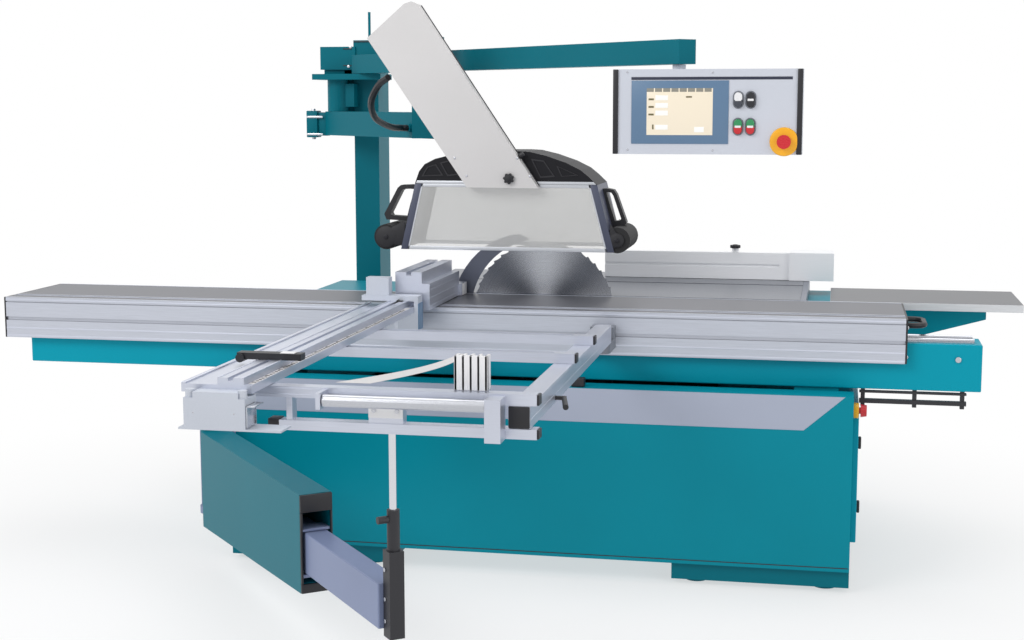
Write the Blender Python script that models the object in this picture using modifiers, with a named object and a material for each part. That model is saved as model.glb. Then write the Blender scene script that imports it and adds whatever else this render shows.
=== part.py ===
"""Panel saw with sliding table, outrigger, overhead guard and overhead control panel.

The saw is laid out about the main blade: x runs along the cut, y away from the operator, z up from the floor,
with the blade's centre line at x = 0 and its plane at y = 0.  A root empty then moves the whole machine so that
the middle of its footprint stands on the world origin.  All sizes are in metres.
"""

import math

import bmesh
import bpy
from mathutils import Matrix, Vector

# ---------------------------------------------------------------------------------------------
# Driving dimensions
# ---------------------------------------------------------------------------------------------
TABLE_HEIGHT = 0.925            # working height of every table top
SLIDER_LENGTH = 3.300           # sliding table with its end caps
SLIDER_LEFT = -1.977
SLIDER_FRONT = -0.462
SLIDER_BACK = -0.014            # edge beside the blade
SLIDER_DEPTH = 0.151            # height of the profile's side
BLADE_DIAMETER = 0.550
BLADE_THICKNESS = 0.0032
CUTTING_HEIGHT = 0.204
TILT_MAX = math.radians(46.0)

TOUCH = 0.0003                  # gap between pieces that bear on each other
RUN = 0.0015                    # gap between pieces that slide or turn
SHEET = 0.006                   # folded sheet steel

# Base cabinet
BASE_LEFT = -1.050
BASE_RIGHT = 1.151
BASE_FRONT = -0.590
BASE_BACK = 0.800
BASE_BOTTOM = 0.078
LEDGE_DROP = 0.246              # front ledge below the table top
LEDGE_DEPTH = 0.100
TRAY_DROP = 0.034               # tray under the beam, below the ledge
SHOULDER_FRONT = 0.060          # front of the raised rear part
PLINTH_HEIGHT = 0.060
PLINTH_LENGTH = 0.600
PLINTH_INSET = 0.020
PAD_SIZE = 0.080
UNIT_LEFT = -0.600              # opening for the saw unit in the cabinet's top
UNIT_RIGHT = 0.680
UNIT_FRONT = -0.340
UNIT_BACK = 0.300
DOOR_FRONT = -0.450
DOOR_BACK = 0.300
DOOR_BOTTOM = 0.160
DOOR_UNDER_BEAM = 0.080         # door opening's top below the beam's underside
DOOR_THICKNESS = 0.020

# Tables on the cabinet
CAST_LEFT = -0.550
CAST_RIGHT = 0.956
CAST_FRONT = 0.008
CAST_BACK = 0.850
CAST_TOP_THICKNESS = 0.020
CAST_RIM = 0.055
RAIL_WIDTH = 0.021
EXTENSION_LEFT = 1.064
EXTENSION_RIGHT = 1.745
EXTENSION_FRONT = 0.005
EXTENSION_BACK = 0.430
EXTENSION_THICKNESS = 0.028
RIP_FACE = 0.660
RIP_LEFT = 0.138
RIP_RIGHT = 1.074
RIP_HEIGHT = 0.109
RIP_WIDTH = 0.040

# Guide beam and its rails
BEAM_LEFT = -1.890
BEAM_RIGHT = 1.570
BEAM_FRONT = -0.430
BEAM_BACK = -0.270
BEAM_DROP = 0.085               # beam top below the table top
BEAM_HEIGHT = 0.160
CHANNEL_MARGIN = 0.007          # sliding table's channel beyond the beam, each side
CHANNEL_CEILING = 0.051         # channel ceiling below the table top
RAIL_RADIUS = 0.0075
RAIL_PITCH = 0.080
CAGE_LENGTH = 1.200
CAGE_HEIGHT = 0.014

# Outrigger and cross-cut fence
BAR_TOP = 0.0015                # top of the cross bars above the table top
BAR_HEIGHT = 0.029
BAR_DEPTH = 0.040
SIDE_BAR_WIDTH = 0.056
SIDE_BAR_HEIGHT = 0.058
LOWER_BAR_HEIGHT = 0.026
SWIVEL_Y = -0.600               # line of the two swivel pins beside the table
FENCE_PIN_X = -0.420
SIDE_PIN_X = 0.312
INNER_BAR_Y = -1.030
MIDDLE_BAR_Y = -1.390
FRONT_BAR_Y = -2.050
FENCE_LIFT = 0.003              # fence underside above the table top
FENCE_HEIGHT = 0.039
FENCE_FAR_END = -2.200
END_BLOCK_FRONT = -2.250
ROLLER_RADIUS = 0.016
ROLLER_Y = -2.110

# Swing arm
ARM_PIN = (-1.080, -0.680)
ARM_HEADING = math.radians(-51.5)
ARM_LENGTH = 1.075
ARM_HALF_WIDTH = 0.050
ARM_TOP = 0.505
ARM_HEEL_BOTTOM = 0.165
ARM_NOSE_BOTTOM = 0.205
TELESCOPE_BOTTOM = 0.265
TELESCOPE_TOP = 0.390
TELESCOPE_HALF_WIDTH = 0.036
TELESCOPE_LENGTH = 1.000
POST_REACH = 1.6695             # from the arm's pin to the post
TUBE_RADIUS = 0.010
TUBE_CLEARANCE = 0.0015         # under the outrigger's lower bar

# Column, guard and controls
COLUMN_LEFT = -1.030
COLUMN_RIGHT = -0.918
COLUMN_FRONT = 0.950
COLUMN_BACK = 1.115
COLUMN_ABOVE_TABLE = 0.993
OVERALL_ABOVE_TABLE = 1.117
GUARD_PIN = (-0.500, 0.915)     # x, and height above the table top
HOOD_PIN = (-0.105, 0.445)
HOOD_BOTTOM = 0.172             # above the table top
HOOD_SPLIT = 0.4205             # joint between window and top, above the table top
SUPPORT_START = (-1.090, 0.905)
SUPPORT_END = (-0.460, 0.300)
SUPPORT_BOTTOM = 0.578
SUPPORT_HEIGHT = 0.104
HOOD_FRONT = -0.090
HOOD_BACK = 0.170
HOOD_WALL = 0.004
COVER_FRONT = -0.140
COVER_BACK = -0.095
BRACKET_FRONT = 0.180           # upright bracket behind the hood
CONTROL_PIN = (-0.980, 0.880)
CONTROL_HEADING = math.radians(-44.0)
CONTROL_LENGTH = 2.180
CONTROL_BOTTOM = 0.846          # above the table top
CONTROL_HEIGHT = 0.080
PANEL_BOTTOM = 0.558
PANEL_HEIGHT = 0.269
PANEL_LEFT = 0.366
PANEL_WIDTH = 0.600
PANEL_FRONT = -0.790
PANEL_DEPTH = 0.100

# Worked out from the sizes above
BLADE_RADIUS = BLADE_DIAMETER / 2
ARBOR_Z = TABLE_HEIGHT - (BLADE_RADIUS - CUTTING_HEIGHT)
SLIDER_RIGHT = SLIDER_LEFT + SLIDER_LENGTH
LEDGE_TOP = TABLE_HEIGHT - LEDGE_DROP
TRAY_TOP = LEDGE_TOP - TRAY_DROP
BASE_TOP = TABLE_HEIGHT - CAST_RIM - TOUCH
BEAM_TOP = TABLE_HEIGHT - BEAM_DROP
BEAM_BOTTOM = BEAM_TOP - BEAM_HEIGHT
DOOR_TOP = BEAM_BOTTOM - DOOR_UNDER_BEAM
BAR_TOP_Z = TABLE_HEIGHT + BAR_TOP
BAR_BOTTOM_Z = BAR_TOP_Z - BAR_HEIGHT
SIDE_BAR_TOP = BAR_BOTTOM_Z - TOUCH
SIDE_BAR_BOTTOM = SIDE_BAR_TOP - SIDE_BAR_HEIGHT
LOWER_BAR_TOP = SIDE_BAR_BOTTOM - RUN
LOWER_BAR_BOTTOM = LOWER_BAR_TOP - LOWER_BAR_HEIGHT
FENCE_BOTTOM = TABLE_HEIGHT + FENCE_LIFT
FENCE_TOP = FENCE_BOTTOM + FENCE_HEIGHT
FOOTPRINT_CENTRE = Vector(((SLIDER_LEFT + EXTENSION_RIGHT) / 2, (END_BLOCK_FRONT + COLUMN_BACK) / 2, 0.0))

# ---------------------------------------------------------------------------------------------
# Scene and helpers
# ---------------------------------------------------------------------------------------------
for old in list(bpy.data.objects):
    bpy.data.objects.remove(old, do_unlink=True)

parts = bpy.data.collections.new("panel_saw")
cutters = bpy.data.collections.new("panel_saw_tools")
bpy.context.scene.collection.children.link(parts)
bpy.context.scene.collection.children.link(cutters)

root = bpy.data.objects.new("panel_saw_root", None)
root.location = -FOOTPRINT_CENTRE
parts.objects.link(root)


def make_material(name, colour, roughness, metallic=0.0):
    """A plain Principled material; colour is linear red, green and blue."""
    material = bpy.data.materials.new(name)
    material.use_nodes = True
    shader = material.node_tree.nodes["Principled BSDF"]
    shader.inputs["Base Color"].default_value = (*colour, 1.0)
    shader.inputs["Roughness"].default_value = roughness
    shader.inputs["Metallic"].default_value = metallic
    return material


TEAL = ((0.0, 0.19, 0.25), 0.40, 0.0)
BLACK = ((0.012, 0.012, 0.015), 0.45, 0.0)
STEEL = ((0.55, 0.56, 0.58), 0.30, 1.0)
ALUMINIUM = ((0.60, 0.62, 0.68), 0.38, 1.0)
CAST = ((0.21, 0.21, 0.24), 0.42, 1.0)
LILAC = ((0.26, 0.28, 0.44), 0.45, 0.0)
WHITE = ((0.66, 0.66, 0.68), 0.45, 0.0)
RED = ((0.58, 0.02, 0.025), 0.35, 0.0)
GREY = ((0.30, 0.31, 0.33), 0.45, 0.0)


def weld(mesh):
    """Close the seams that a curve's caps leave."""
    work = bmesh.new()
    work.from_mesh(mesh)
    bmesh.ops.remove_doubles(work, verts=work.verts, dist=0.00001)
    work.to_mesh(mesh)
    work.free()
    return mesh


def mesh_of_curve(curve):
    """Turn curve data into a closed mesh and drop the curve."""
    carrier = bpy.data.objects.new("carrier", curve)
    cutters.objects.link(carrier)
    depsgraph = bpy.context.evaluated_depsgraph_get()
    mesh = bpy.data.meshes.new_from_object(carrier.evaluated_get(depsgraph))
    mesh.transform(carrier.matrix_world)
    bpy.data.objects.remove(carrier)
    return weld(mesh)


def box(low, high):
    """A box between two corners."""
    low = Vector(low)
    size = Vector(high) - low
    work = bmesh.new()
    bmesh.ops.create_cube(work, size=1.0)
    bmesh.ops.scale(work, vec=size, verts=work.verts)
    bmesh.ops.translate(work, vec=low + size / 2, verts=work.verts)
    mesh = bpy.data.meshes.new("box")
    work.to_mesh(mesh)
    work.free()
    return mesh


def rod(start, end, radius, sides=24, end_radius=None):
    """A round bar or cone between two points."""
    start = Vector(start)
    along = Vector(end) - start
    turn = Vector((0.0, 0.0, 1.0)).rotation_difference(along).to_matrix().to_4x4()
    work = bmesh.new()
    bmesh.ops.create_cone(
        work, cap_ends=True, segments=sides, radius1=radius,
        radius2=radius if end_radius is None else end_radius, depth=along.length)
    work.transform(Matrix.Translation(start + along / 2) @ turn)
    mesh = bpy.data.meshes.new("rod")
    work.to_mesh(mesh)
    work.free()
    return mesh


PLANES = {
    "X": Matrix(((0, 0, 1, 0), (1, 0, 0, 0), (0, 1, 0, 0), (0, 0, 0, 1))),
    "Y": Matrix(((1, 0, 0, 0), (0, 0, -1, 0), (0, 1, 0, 0), (0, 0, 0, 1))),
    "Z": Matrix.Identity(4),
}


def plate(points, axis, low, high):
    """A flat outline, given as (u, v) points, thickened along an axis from low to high.

    The outline's (u, v) are (y, z) for axis X, (x, z) for axis Y and (x, y) for axis Z.
    """
    curve = bpy.data.curves.new("outline", "CURVE")
    curve.dimensions = "2D"
    curve.fill_mode = "BOTH"
    curve.extrude = (high - low) / 2
    spline = curve.splines.new("POLY")
    spline.points.add(len(points) - 1)
    for point, (u, v) in zip(spline.points, points):
        point.co = (u, v, 0.0, 1.0)
    spline.use_cyclic_u = True
    mesh = mesh_of_curve(curve)
    middle = (low + high) / 2
    shift = {"X": (middle, 0, 0), "Y": (0, middle, 0), "Z": (0, 0, middle)}[axis]
    mesh.transform(Matrix.Translation(shift) @ PLANES[axis])
    return mesh


def smooth_points(points, steps=4):
    """Points along a smooth curve through the given points."""
    points = [Vector(point) for point in points]
    ends = [2 * points[0] - points[1]] + points + [2 * points[-1] - points[-2]]
    route = []
    for a, b, c, d in zip(ends, ends[1:], ends[2:], ends[3:]):
        for step in range(steps):
            t = step / steps
            route.append(0.5 * (2 * b + (c - a) * t + (2 * a - 5 * b + 4 * c - d) * t ** 2
                                + (3 * b - a - 3 * c + d) * t ** 3))
    return route + [points[-1]]


def bent_tube(points, radius, resolution=2):
    """A round tube through the points."""
    curve = bpy.data.curves.new("tube", "CURVE")
    curve.dimensions = "3D"
    curve.bevel_depth = radius
    curve.bevel_resolution = resolution
    curve.use_fill_caps = True
    spline = curve.splines.new("POLY")
    spline.points.add(len(points) - 1)
    for knot, point in zip(spline.points, points):
        knot.co = (*point, 1.0)
    return mesh_of_curve(curve)


def arc(centre, radius, start, end, steps):
    """Points on an arc in an outline's plane; angles in degrees."""
    angles = [math.radians(start + (end - start) * step / steps) for step in range(steps + 1)]
    return [(centre[0] + radius * math.cos(a), centre[1] + radius * math.sin(a)) for a in angles]


def turned_to(mesh, point, heading):
    """Lay a mesh that was drawn along +X from the origin along a heading from a point."""
    mesh.transform(Matrix.Translation(point) @ Matrix.Rotation(heading, 4, "Z"))
    return mesh


def piece(name, finish, solid, add=(), cut=(), pivot=(0.0, 0.0, 0.0), edge=0.0):
    """One named sub-part: a solid, what is joined to it and cut from it, with its origin at the pivot."""
    body = bpy.data.objects.new(name, solid)
    parts.objects.link(body)
    body.parent = root
    solid.transform(Matrix.Translation(-Vector(pivot)))
    body.location = pivot
    solid.name = name
    solid.materials.clear()
    solid.materials.append(make_material(name + "_finish", *finish))
    if edge:
        soften = body.modifiers.new("rounded edges", "BEVEL")
        soften.width = edge
        soften.segments = 2
        soften.limit_method = "ANGLE"
        soften.angle_limit = math.radians(50)
    for operation, tools in (("UNION", add), ("DIFFERENCE", cut)):
        for number, tool_mesh in enumerate(tools):
            tool = bpy.data.objects.new(f"{name}_{operation.lower()}_{number + 1}", tool_mesh)
            cutters.objects.link(tool)
            tool.parent = root
            tool.hide_render = True
            tool.display_type = "WIRE"
            join = body.modifiers.new(tool.name, "BOOLEAN")
            join.operation = operation
            join.object = tool
            join.solver = "EXACT"
    solid.shade_smooth()
    solid.set_sharp_from_angle(angle=math.radians(35))
    return body


# ---------------------------------------------------------------------------------------------
# Machine body
# ---------------------------------------------------------------------------------------------
def base_outline(inset):
    """The cabinet's side outline, (y, z): low ledge in front, tray under the beam, raised rear part."""
    front = BASE_FRONT + inset
    back = BASE_BACK - inset
    bottom = BASE_BOTTOM + inset
    tray_edge = BASE_FRONT + LEDGE_DEPTH - inset
    shoulder = SHOULDER_FRONT + inset
    return [
        (front, bottom), (back, bottom), (back, BASE_TOP - inset), (shoulder, BASE_TOP - inset),
        (shoulder, TRAY_TOP - inset), (tray_edge, TRAY_TOP - inset), (tray_edge, LEDGE_TOP - inset),
        (front, LEDGE_TOP - inset)]


def base_cabinet():
    """Folded sheet cabinet, open on top for the saw unit and at the right end for the door."""
    shell = plate(base_outline(0.0), "X", BASE_LEFT, BASE_RIGHT)
    hollow = plate(base_outline(SHEET), "X", BASE_LEFT + SHEET, BASE_RIGHT - SHEET)
    unit_opening = box(
        (UNIT_LEFT, UNIT_FRONT, TRAY_TOP - 3 * SHEET), (UNIT_RIGHT, UNIT_BACK, BASE_TOP + SHEET))
    door_opening = box(
        (BASE_RIGHT - 2 * SHEET, DOOR_FRONT, DOOR_BOTTOM), (BASE_RIGHT + SHEET, DOOR_BACK, DOOR_TOP))
    blocks = [
        box((x, BEAM_FRONT + 0.01, TRAY_TOP - SHEET / 2), (x + 0.15, BEAM_BACK - 0.01, BEAM_BOTTOM - TOUCH))
        for x in (BASE_LEFT + 0.05, BASE_RIGHT - 0.20)]
    bracket_top = TABLE_HEIGHT - EXTENSION_THICKNESS - TOUCH
    bracket = plate(
        [(BASE_RIGHT - SHEET / 2, bracket_top - 0.16), (BASE_RIGHT + 0.05, bracket_top - 0.16),
         (EXTENSION_RIGHT - 0.12, bracket_top - 0.04), (EXTENSION_RIGHT - 0.12, bracket_top),
         (BASE_RIGHT - SHEET / 2, bracket_top)],
        "Y", EXTENSION_FRONT + 0.10, EXTENSION_BACK - 0.08)
    piece("base_cabinet", TEAL, shell, add=[*blocks, bracket], cut=[hollow, unit_opening, door_opening])


def plinth(name, left, pad_places):
    """A plinth under one end of the cabinet, with floor pads."""
    top = BASE_BOTTOM - TOUCH
    bottom = top - PLINTH_HEIGHT
    front = BASE_FRONT + PLINTH_INSET
    back = BASE_BACK - PLINTH_INSET
    pads = [
        rod((x, y, 0.0), (x, y, bottom + 0.004), PAD_SIZE / 2)
        for x in pad_places for y in (front + PAD_SIZE, back - PAD_SIZE)]
    piece(name, BLACK, box((left, front, bottom), (left + PLINTH_LENGTH, back, top)), add=pads)


def cast_table():
    """Ground cast-iron table: a thin top beside the blade and a deep rim where it stands on the cabinet."""
    top = box(
        (CAST_LEFT, CAST_FRONT, TABLE_HEIGHT - CAST_TOP_THICKNESS), (CAST_RIGHT, CAST_BACK, TABLE_HEIGHT))
    rim_top = TABLE_HEIGHT - CAST_TOP_THICKNESS / 2
    rim = [
        box(
            (UNIT_RIGHT + 0.02, CAST_FRONT + 0.05, BASE_TOP + TOUCH),
            (CAST_RIGHT - 0.01, CAST_BACK - 0.01, rim_top)),
        box(
            (CAST_LEFT + 0.01, UNIT_BACK + 0.02, BASE_TOP + TOUCH),
            (CAST_RIGHT - 0.01, CAST_BACK - 0.01, rim_top))]
    slot = box(
        (CAST_LEFT - 0.01, 0.470, TABLE_HEIGHT - 0.010), (CAST_RIGHT + 0.01, 0.489, TABLE_HEIGHT + 0.01))
    piece("cast_table", CAST, top, add=rim, cut=[slot])


def extension_table():
    """Light extension table to the right, on the cabinet's bracket."""
    top = box(
        (EXTENSION_LEFT, EXTENSION_FRONT, TABLE_HEIGHT - EXTENSION_THICKNESS),
        (EXTENSION_RIGHT, EXTENSION_BACK, TABLE_HEIGHT))
    piece("extension_table", WHITE, top, edge=0.002)


def rip_fence_rail():
    """Bright rail along the cast table's right edge, which carries the rip fence."""
    left = CAST_RIGHT + TOUCH
    rail = box((left, CAST_FRONT, TABLE_HEIGHT - CAST_RIM), (left + RAIL_WIDTH, CAST_BACK, TABLE_HEIGHT))
    piece("rip_fence_rail", ALUMINIUM, rail, edge=0.0015)


def rip_fence():
    """Rip fence: a tall face across the table on a carriage over the rail, with a locking knob."""
    floor = TABLE_HEIGHT + RUN
    face = box((RIP_LEFT, RIP_FACE, floor), (RIP_RIGHT, RIP_FACE + RIP_WIDTH, floor + RIP_HEIGHT))
    carriage = box(
        (CAST_RIGHT - 0.06, RIP_FACE - 0.02, floor), (RIP_RIGHT, RIP_FACE + 0.12, floor + RIP_HEIGHT + 0.004))
    knob_z = floor + RIP_HEIGHT
    knob_y = RIP_FACE + RIP_WIDTH / 2
    knob_x = (RIP_LEFT + RIP_RIGHT) / 2 + 0.07
    knob = rod((knob_x, knob_y, knob_z - 0.004), (knob_x, knob_y, knob_z + 0.018), 0.014)
    groove = box(
        (RIP_LEFT - 0.01, RIP_FACE - 0.01, floor + 0.050),
        (CAST_RIGHT - 0.10, RIP_FACE + 0.008, floor + 0.062))
    piece(
        "rip_fence", ALUMINIUM, face, add=[carriage, knob], cut=[groove], pivot=(RIP_RIGHT, RIP_FACE, floor))


def guide_beam():
    """Steel box beam that carries the sliding table."""
    beam = box((BEAM_LEFT, BEAM_FRONT, BEAM_BOTTOM), (BEAM_RIGHT, BEAM_BACK, BEAM_TOP))
    piece("guide_beam", TEAL, beam, edge=0.004)


def guide_rail():
    """Two hardened rods on a strip along the beam's top."""
    middle = (BEAM_FRONT + BEAM_BACK) / 2
    low = BEAM_TOP + TOUCH
    left = BEAM_LEFT + 0.02
    right = BEAM_RIGHT - 0.025
    strip = box(
        (left, middle - RAIL_PITCH / 2 - 0.012, low), (right, middle + RAIL_PITCH / 2 + 0.012, low + 0.005))
    rods = [
        rod((left, middle + side * RAIL_PITCH / 2, low + RAIL_RADIUS),
            (right, middle + side * RAIL_PITCH / 2, low + RAIL_RADIUS), RAIL_RADIUS, sides=16)
        for side in (-1, 1)]
    piece("guide_rail", STEEL, strip, add=rods)


def column():
    """Square column on a floor plate, tied to the cabinet, with the head that carries guard and controls."""
    top = TABLE_HEIGHT + COLUMN_ABOVE_TABLE
    head_low = TABLE_HEIGHT + 0.865
    post = box((COLUMN_LEFT, COLUMN_FRONT, 0.0), (COLUMN_RIGHT, COLUMN_BACK, top))
    foot = box((COLUMN_LEFT - 0.10, COLUMN_FRONT - 0.10, 0.0), (COLUMN_RIGHT + 0.10, COLUMN_BACK, 0.012))
    tie = box(
        (COLUMN_LEFT, BASE_BACK + TOUCH, BASE_TOP - 0.25),
        (COLUMN_RIGHT, COLUMN_FRONT + 0.01, BASE_TOP - 0.15))
    antenna = rod(
        (COLUMN_LEFT + 0.06, COLUMN_FRONT + 0.05, top - 0.01),
        (COLUMN_LEFT + 0.06, COLUMN_FRONT + 0.05, TABLE_HEIGHT + OVERALL_ABOVE_TABLE), 0.006, sides=12)
    pivot_x, pivot_y = CONTROL_PIN
    shelf = box((COLUMN_LEFT - 0.15, pivot_y - 0.06, head_low - 0.045),
                (COLUMN_RIGHT + 0.048, COLUMN_FRONT + 0.05, TABLE_HEIGHT + CONTROL_BOTTOM - RUN))
    pin = rod(
        (pivot_x, pivot_y, head_low - 0.03), (pivot_x, pivot_y, TABLE_HEIGHT + CONTROL_BOTTOM + 0.05), 0.016)
    head_box = box(
        (COLUMN_LEFT - 0.15, COLUMN_FRONT - 0.01, head_low),
        (COLUMN_LEFT + 0.01, COLUMN_BACK - 0.04, head_low + 0.10))
    tube_x, tube_y = SUPPORT_START
    hanger_low = TABLE_HEIGHT + SUPPORT_BOTTOM + SUPPORT_HEIGHT + TOUCH
    hanger = rod((tube_x, tube_y, hanger_low), (tube_x, tube_y, head_low - 0.02), 0.045)
    tube_tie = box((tube_x, tube_y - 0.02, hanger_low + 0.02), (COLUMN_LEFT + 0.02, COLUMN_FRONT + 0.02,
                                                                hanger_low + 0.12))
    piece("column", TEAL, post, add=[foot, tie, antenna, shelf, pin, hanger, tube_tie, head_box])


def switch_rail():
    """Two thin rails under the beam's right end, on hangers from the beam."""
    front = BEAM_FRONT
    top = BEAM_BOTTOM - TOUCH
    left = BASE_RIGHT + 0.019
    right = BEAM_RIGHT - 0.047
    upper = box((left, front, top - 0.013), (right, front + 0.020, top - 0.006))
    lower = box((left, front, top - 0.049), (right, front + 0.020, top - 0.035))
    hangers = [
        box((x, front + 0.004, top - 0.060), (x + 0.014, front + 0.024, top))
        for x in (left + 0.005, (left + right) / 2, right - 0.020)]
    piece("switch_rail", BLACK, upper, add=[lower, *hangers])


def arm_pivot_bracket():
    """Two lugs and a pin on the cabinet's front corner, for the swing arm."""
    x, y = ARM_PIN
    low = ARM_HEEL_BOTTOM + 0.035
    high = ARM_TOP + 0.045
    lug = 0.025
    radius = 0.042
    back = box((x - 0.07, BASE_FRONT - TOUCH - 0.016, low), (x + 0.06, BASE_FRONT - TOUCH, high))
    lugs = []
    for bottom in (low, high - lug):
        lugs.append(rod((x, y, bottom), (x, y, bottom + lug), radius))
        lugs.append(box((x - radius, y, bottom), (x + radius, BASE_FRONT - TOUCH - 0.01, bottom + lug)))
    pin = rod((x, y, low + lug / 2), (x, y, high - lug / 2), 0.012)
    piece("arm_pivot_bracket", LILAC, back, add=[*lugs, pin])


def end_door():
    """Access door over the cabinet's right end, hinged at the rear edge, with its hinge knuckle."""
    overlap = 0.012
    face = BASE_RIGHT + TOUCH
    door = box(
        (face, DOOR_FRONT - overlap, DOOR_BOTTOM - overlap),
        (face + DOOR_THICKNESS, DOOR_BACK + overlap, DOOR_TOP + overlap))
    hinge = (face + DOOR_THICKNESS, DOOR_BACK + overlap, DOOR_BOTTOM)
    piece("end_door", TEAL, door, pivot=hinge, edge=0.003)


def base_stop_button():
    """Emergency stop on the cabinet's right end: collar fixed in the door's corner, mushroom head."""
    y = BASE_FRONT + 0.090
    z = LEDGE_TOP - 0.062
    start = BASE_RIGHT + 0.008
    head = rod((start, y, z), (start + 0.036, y, z), 0.011)
    mushroom = rod((start + 0.016, y, z), (start + 0.036, y, z), 0.0225, end_radius=0.019)
    piece("base_stop_button", RED, head, add=[mushroom], pivot=(start, y, z))


base_cabinet()
plinth("plinth_left", BASE_LEFT, (BASE_LEFT + 0.08, BASE_LEFT + PLINTH_LENGTH - 0.08))
plinth("plinth_right", BASE_RIGHT - PLINTH_LENGTH, (BASE_RIGHT - PLINTH_LENGTH + 0.08, BASE_RIGHT - 0.08))
cast_table()
extension_table()
rip_fence_rail()
rip_fence()
guide_beam()
guide_rail()
column()
switch_rail()
arm_pivot_bracket()
end_door()
base_stop_button()

# ---------------------------------------------------------------------------------------------
# Sliding table
# ---------------------------------------------------------------------------------------------
CAP_THICKNESS = 0.006
SLOT_WIDTH = 0.013
SLOT_DEPTH = 0.008


def slider_outline(slots):
    """Sliding table's section, (y, z): slanted under the blade edge, with a channel round the beam."""
    top = TABLE_HEIGHT
    bottom = top - SLIDER_DEPTH
    slant = (SLIDER_DEPTH - 0.006) * math.tan(TILT_MAX)
    channel_front = BEAM_FRONT - CHANNEL_MARGIN
    channel_back = BEAM_BACK + CHANNEL_MARGIN
    ceiling = top - CHANNEL_CEILING
    front = [(SLIDER_FRONT, bottom), (SLIDER_FRONT, top)]
    if slots:
        side = top - 0.086
        front = [
            (SLIDER_FRONT, bottom), (SLIDER_FRONT, side), (SLIDER_FRONT + SLOT_DEPTH, side),
            (SLIDER_FRONT + SLOT_DEPTH, side + SLOT_WIDTH), (SLIDER_FRONT, side + SLOT_WIDTH),
            (SLIDER_FRONT, top - 0.019), (SLIDER_FRONT + 0.005, top - 0.019),
            (SLIDER_FRONT + 0.005, top - 0.015),
            (SLIDER_FRONT, top - 0.015), (SLIDER_FRONT, top)]
    groove = []
    if slots:
        y = SLIDER_FRONT + 0.075
        groove = [(y, top), (y, top - SLOT_DEPTH), (y + SLOT_WIDTH, top - SLOT_DEPTH), (y + SLOT_WIDTH, top)]
    return front + groove + [
        (SLIDER_BACK, top), (SLIDER_BACK, top - 0.006), (SLIDER_BACK - 0.014, top - 0.006),
        (SLIDER_BACK - 0.014 - slant, bottom), (channel_back, bottom), (channel_back, ceiling),
        (channel_front, ceiling), (channel_front, bottom)]


def sliding_table():
    """Extruded aluminium table, with the lug and pin that carry the cross-cut fence."""
    left = SLIDER_LEFT + CAP_THICKNESS + TOUCH
    right = SLIDER_RIGHT - CAP_THICKNESS - TOUCH
    profile = plate(slider_outline(True), "X", left, right)
    lug_top = TABLE_HEIGHT - 0.072
    lug = box(
        (FENCE_PIN_X - 0.030, SWIVEL_Y, lug_top - 0.022),
        (FENCE_PIN_X + 0.030, SLIDER_FRONT + 0.002, lug_top))
    nose = rod((FENCE_PIN_X, SWIVEL_Y, lug_top - 0.022), (FENCE_PIN_X, SWIVEL_Y, lug_top), 0.030)
    pin = rod((FENCE_PIN_X, SWIVEL_Y, lug_top - 0.01), (FENCE_PIN_X, SWIVEL_Y, lug_top + 0.040), 0.008)
    piece("sliding_table", ALUMINIUM, profile, add=[lug, nose, pin], pivot=(0.0, SLIDER_FRONT, TABLE_HEIGHT))


def table_end_cap(name, start):
    cap = plate(slider_outline(False), "X", start, start + CAP_THICKNESS)
    piece(name, BLACK, cap, pivot=(start, SLIDER_FRONT, TABLE_HEIGHT))


def push_handle():
    """Bow handle on the right end cap."""
    wall = SLIDER_RIGHT + TOUCH
    z = TABLE_HEIGHT - 0.030
    front, back = -0.380, -0.220
    reach = 0.058
    route = smooth_points([
        (wall, front, z), (wall + 0.6 * reach, front, z), (wall + reach, front + 0.025, z),
        (wall + reach, (front + back) / 2, z), (wall + reach, back - 0.025, z), (wall + 0.6 * reach, back, z),
        (wall, back, z)])
    bow = bent_tube(route, 0.010)
    end_faces = box((wall - 0.02, front - 0.03, z - 0.03), (wall, back + 0.03, z + 0.03))
    piece("push_handle", BLACK, bow, cut=[end_faces], pivot=(wall, front, z))


def hinge_bracket():
    """Bracket on the sliding table's side with the tongue and pin that carry the outrigger."""
    back = SLIDER_FRONT - TOUCH
    low = SIDE_BAR_BOTTOM - RUN - 0.035
    block = box((SIDE_PIN_X - 0.056, back - 0.060, low), (SIDE_PIN_X + 0.025, back, TABLE_HEIGHT - 0.045))
    tongue = box(
        (SIDE_PIN_X - 0.025, SWIVEL_Y, low), (SIDE_PIN_X + 0.025, back - 0.05, SIDE_BAR_BOTTOM - RUN))
    nose = rod((SIDE_PIN_X, SWIVEL_Y, low), (SIDE_PIN_X, SWIVEL_Y, SIDE_BAR_BOTTOM - RUN), 0.025)
    pin = rod((SIDE_PIN_X, SWIVEL_Y, low + 0.01), (SIDE_PIN_X, SWIVEL_Y, SIDE_BAR_TOP - 0.015), 0.010)
    piece("hinge_bracket", GREY, block, add=[tongue, nose, pin], pivot=(SIDE_PIN_X, back, low))


def roller_cage():
    """Cage of rollers between the beam's rails and the sliding table."""
    middle = (BEAM_FRONT + BEAM_BACK) / 2
    low = BEAM_TOP + TOUCH + 2 * RAIL_RADIUS + RUN
    cage = box((-CAGE_LENGTH / 2, middle - 0.055, low), (CAGE_LENGTH / 2, middle + 0.055, low + CAGE_HEIGHT))
    windows = [
        box((x - 0.03, middle - 0.030, low - 0.01), (x + 0.03, middle + 0.030, low + CAGE_HEIGHT + 0.01))
        for x in [CAGE_LENGTH * (k - 2.5) / 6 for k in range(6)]]
    piece("roller_cage", STEEL, cage, cut=windows, pivot=(0.0, middle, low))


sliding_table()
table_end_cap("table_end_cap_left", SLIDER_LEFT)
table_end_cap("table_end_cap_right", SLIDER_RIGHT - CAP_THICKNESS)
push_handle()
hinge_bracket()
roller_cage()

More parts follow.
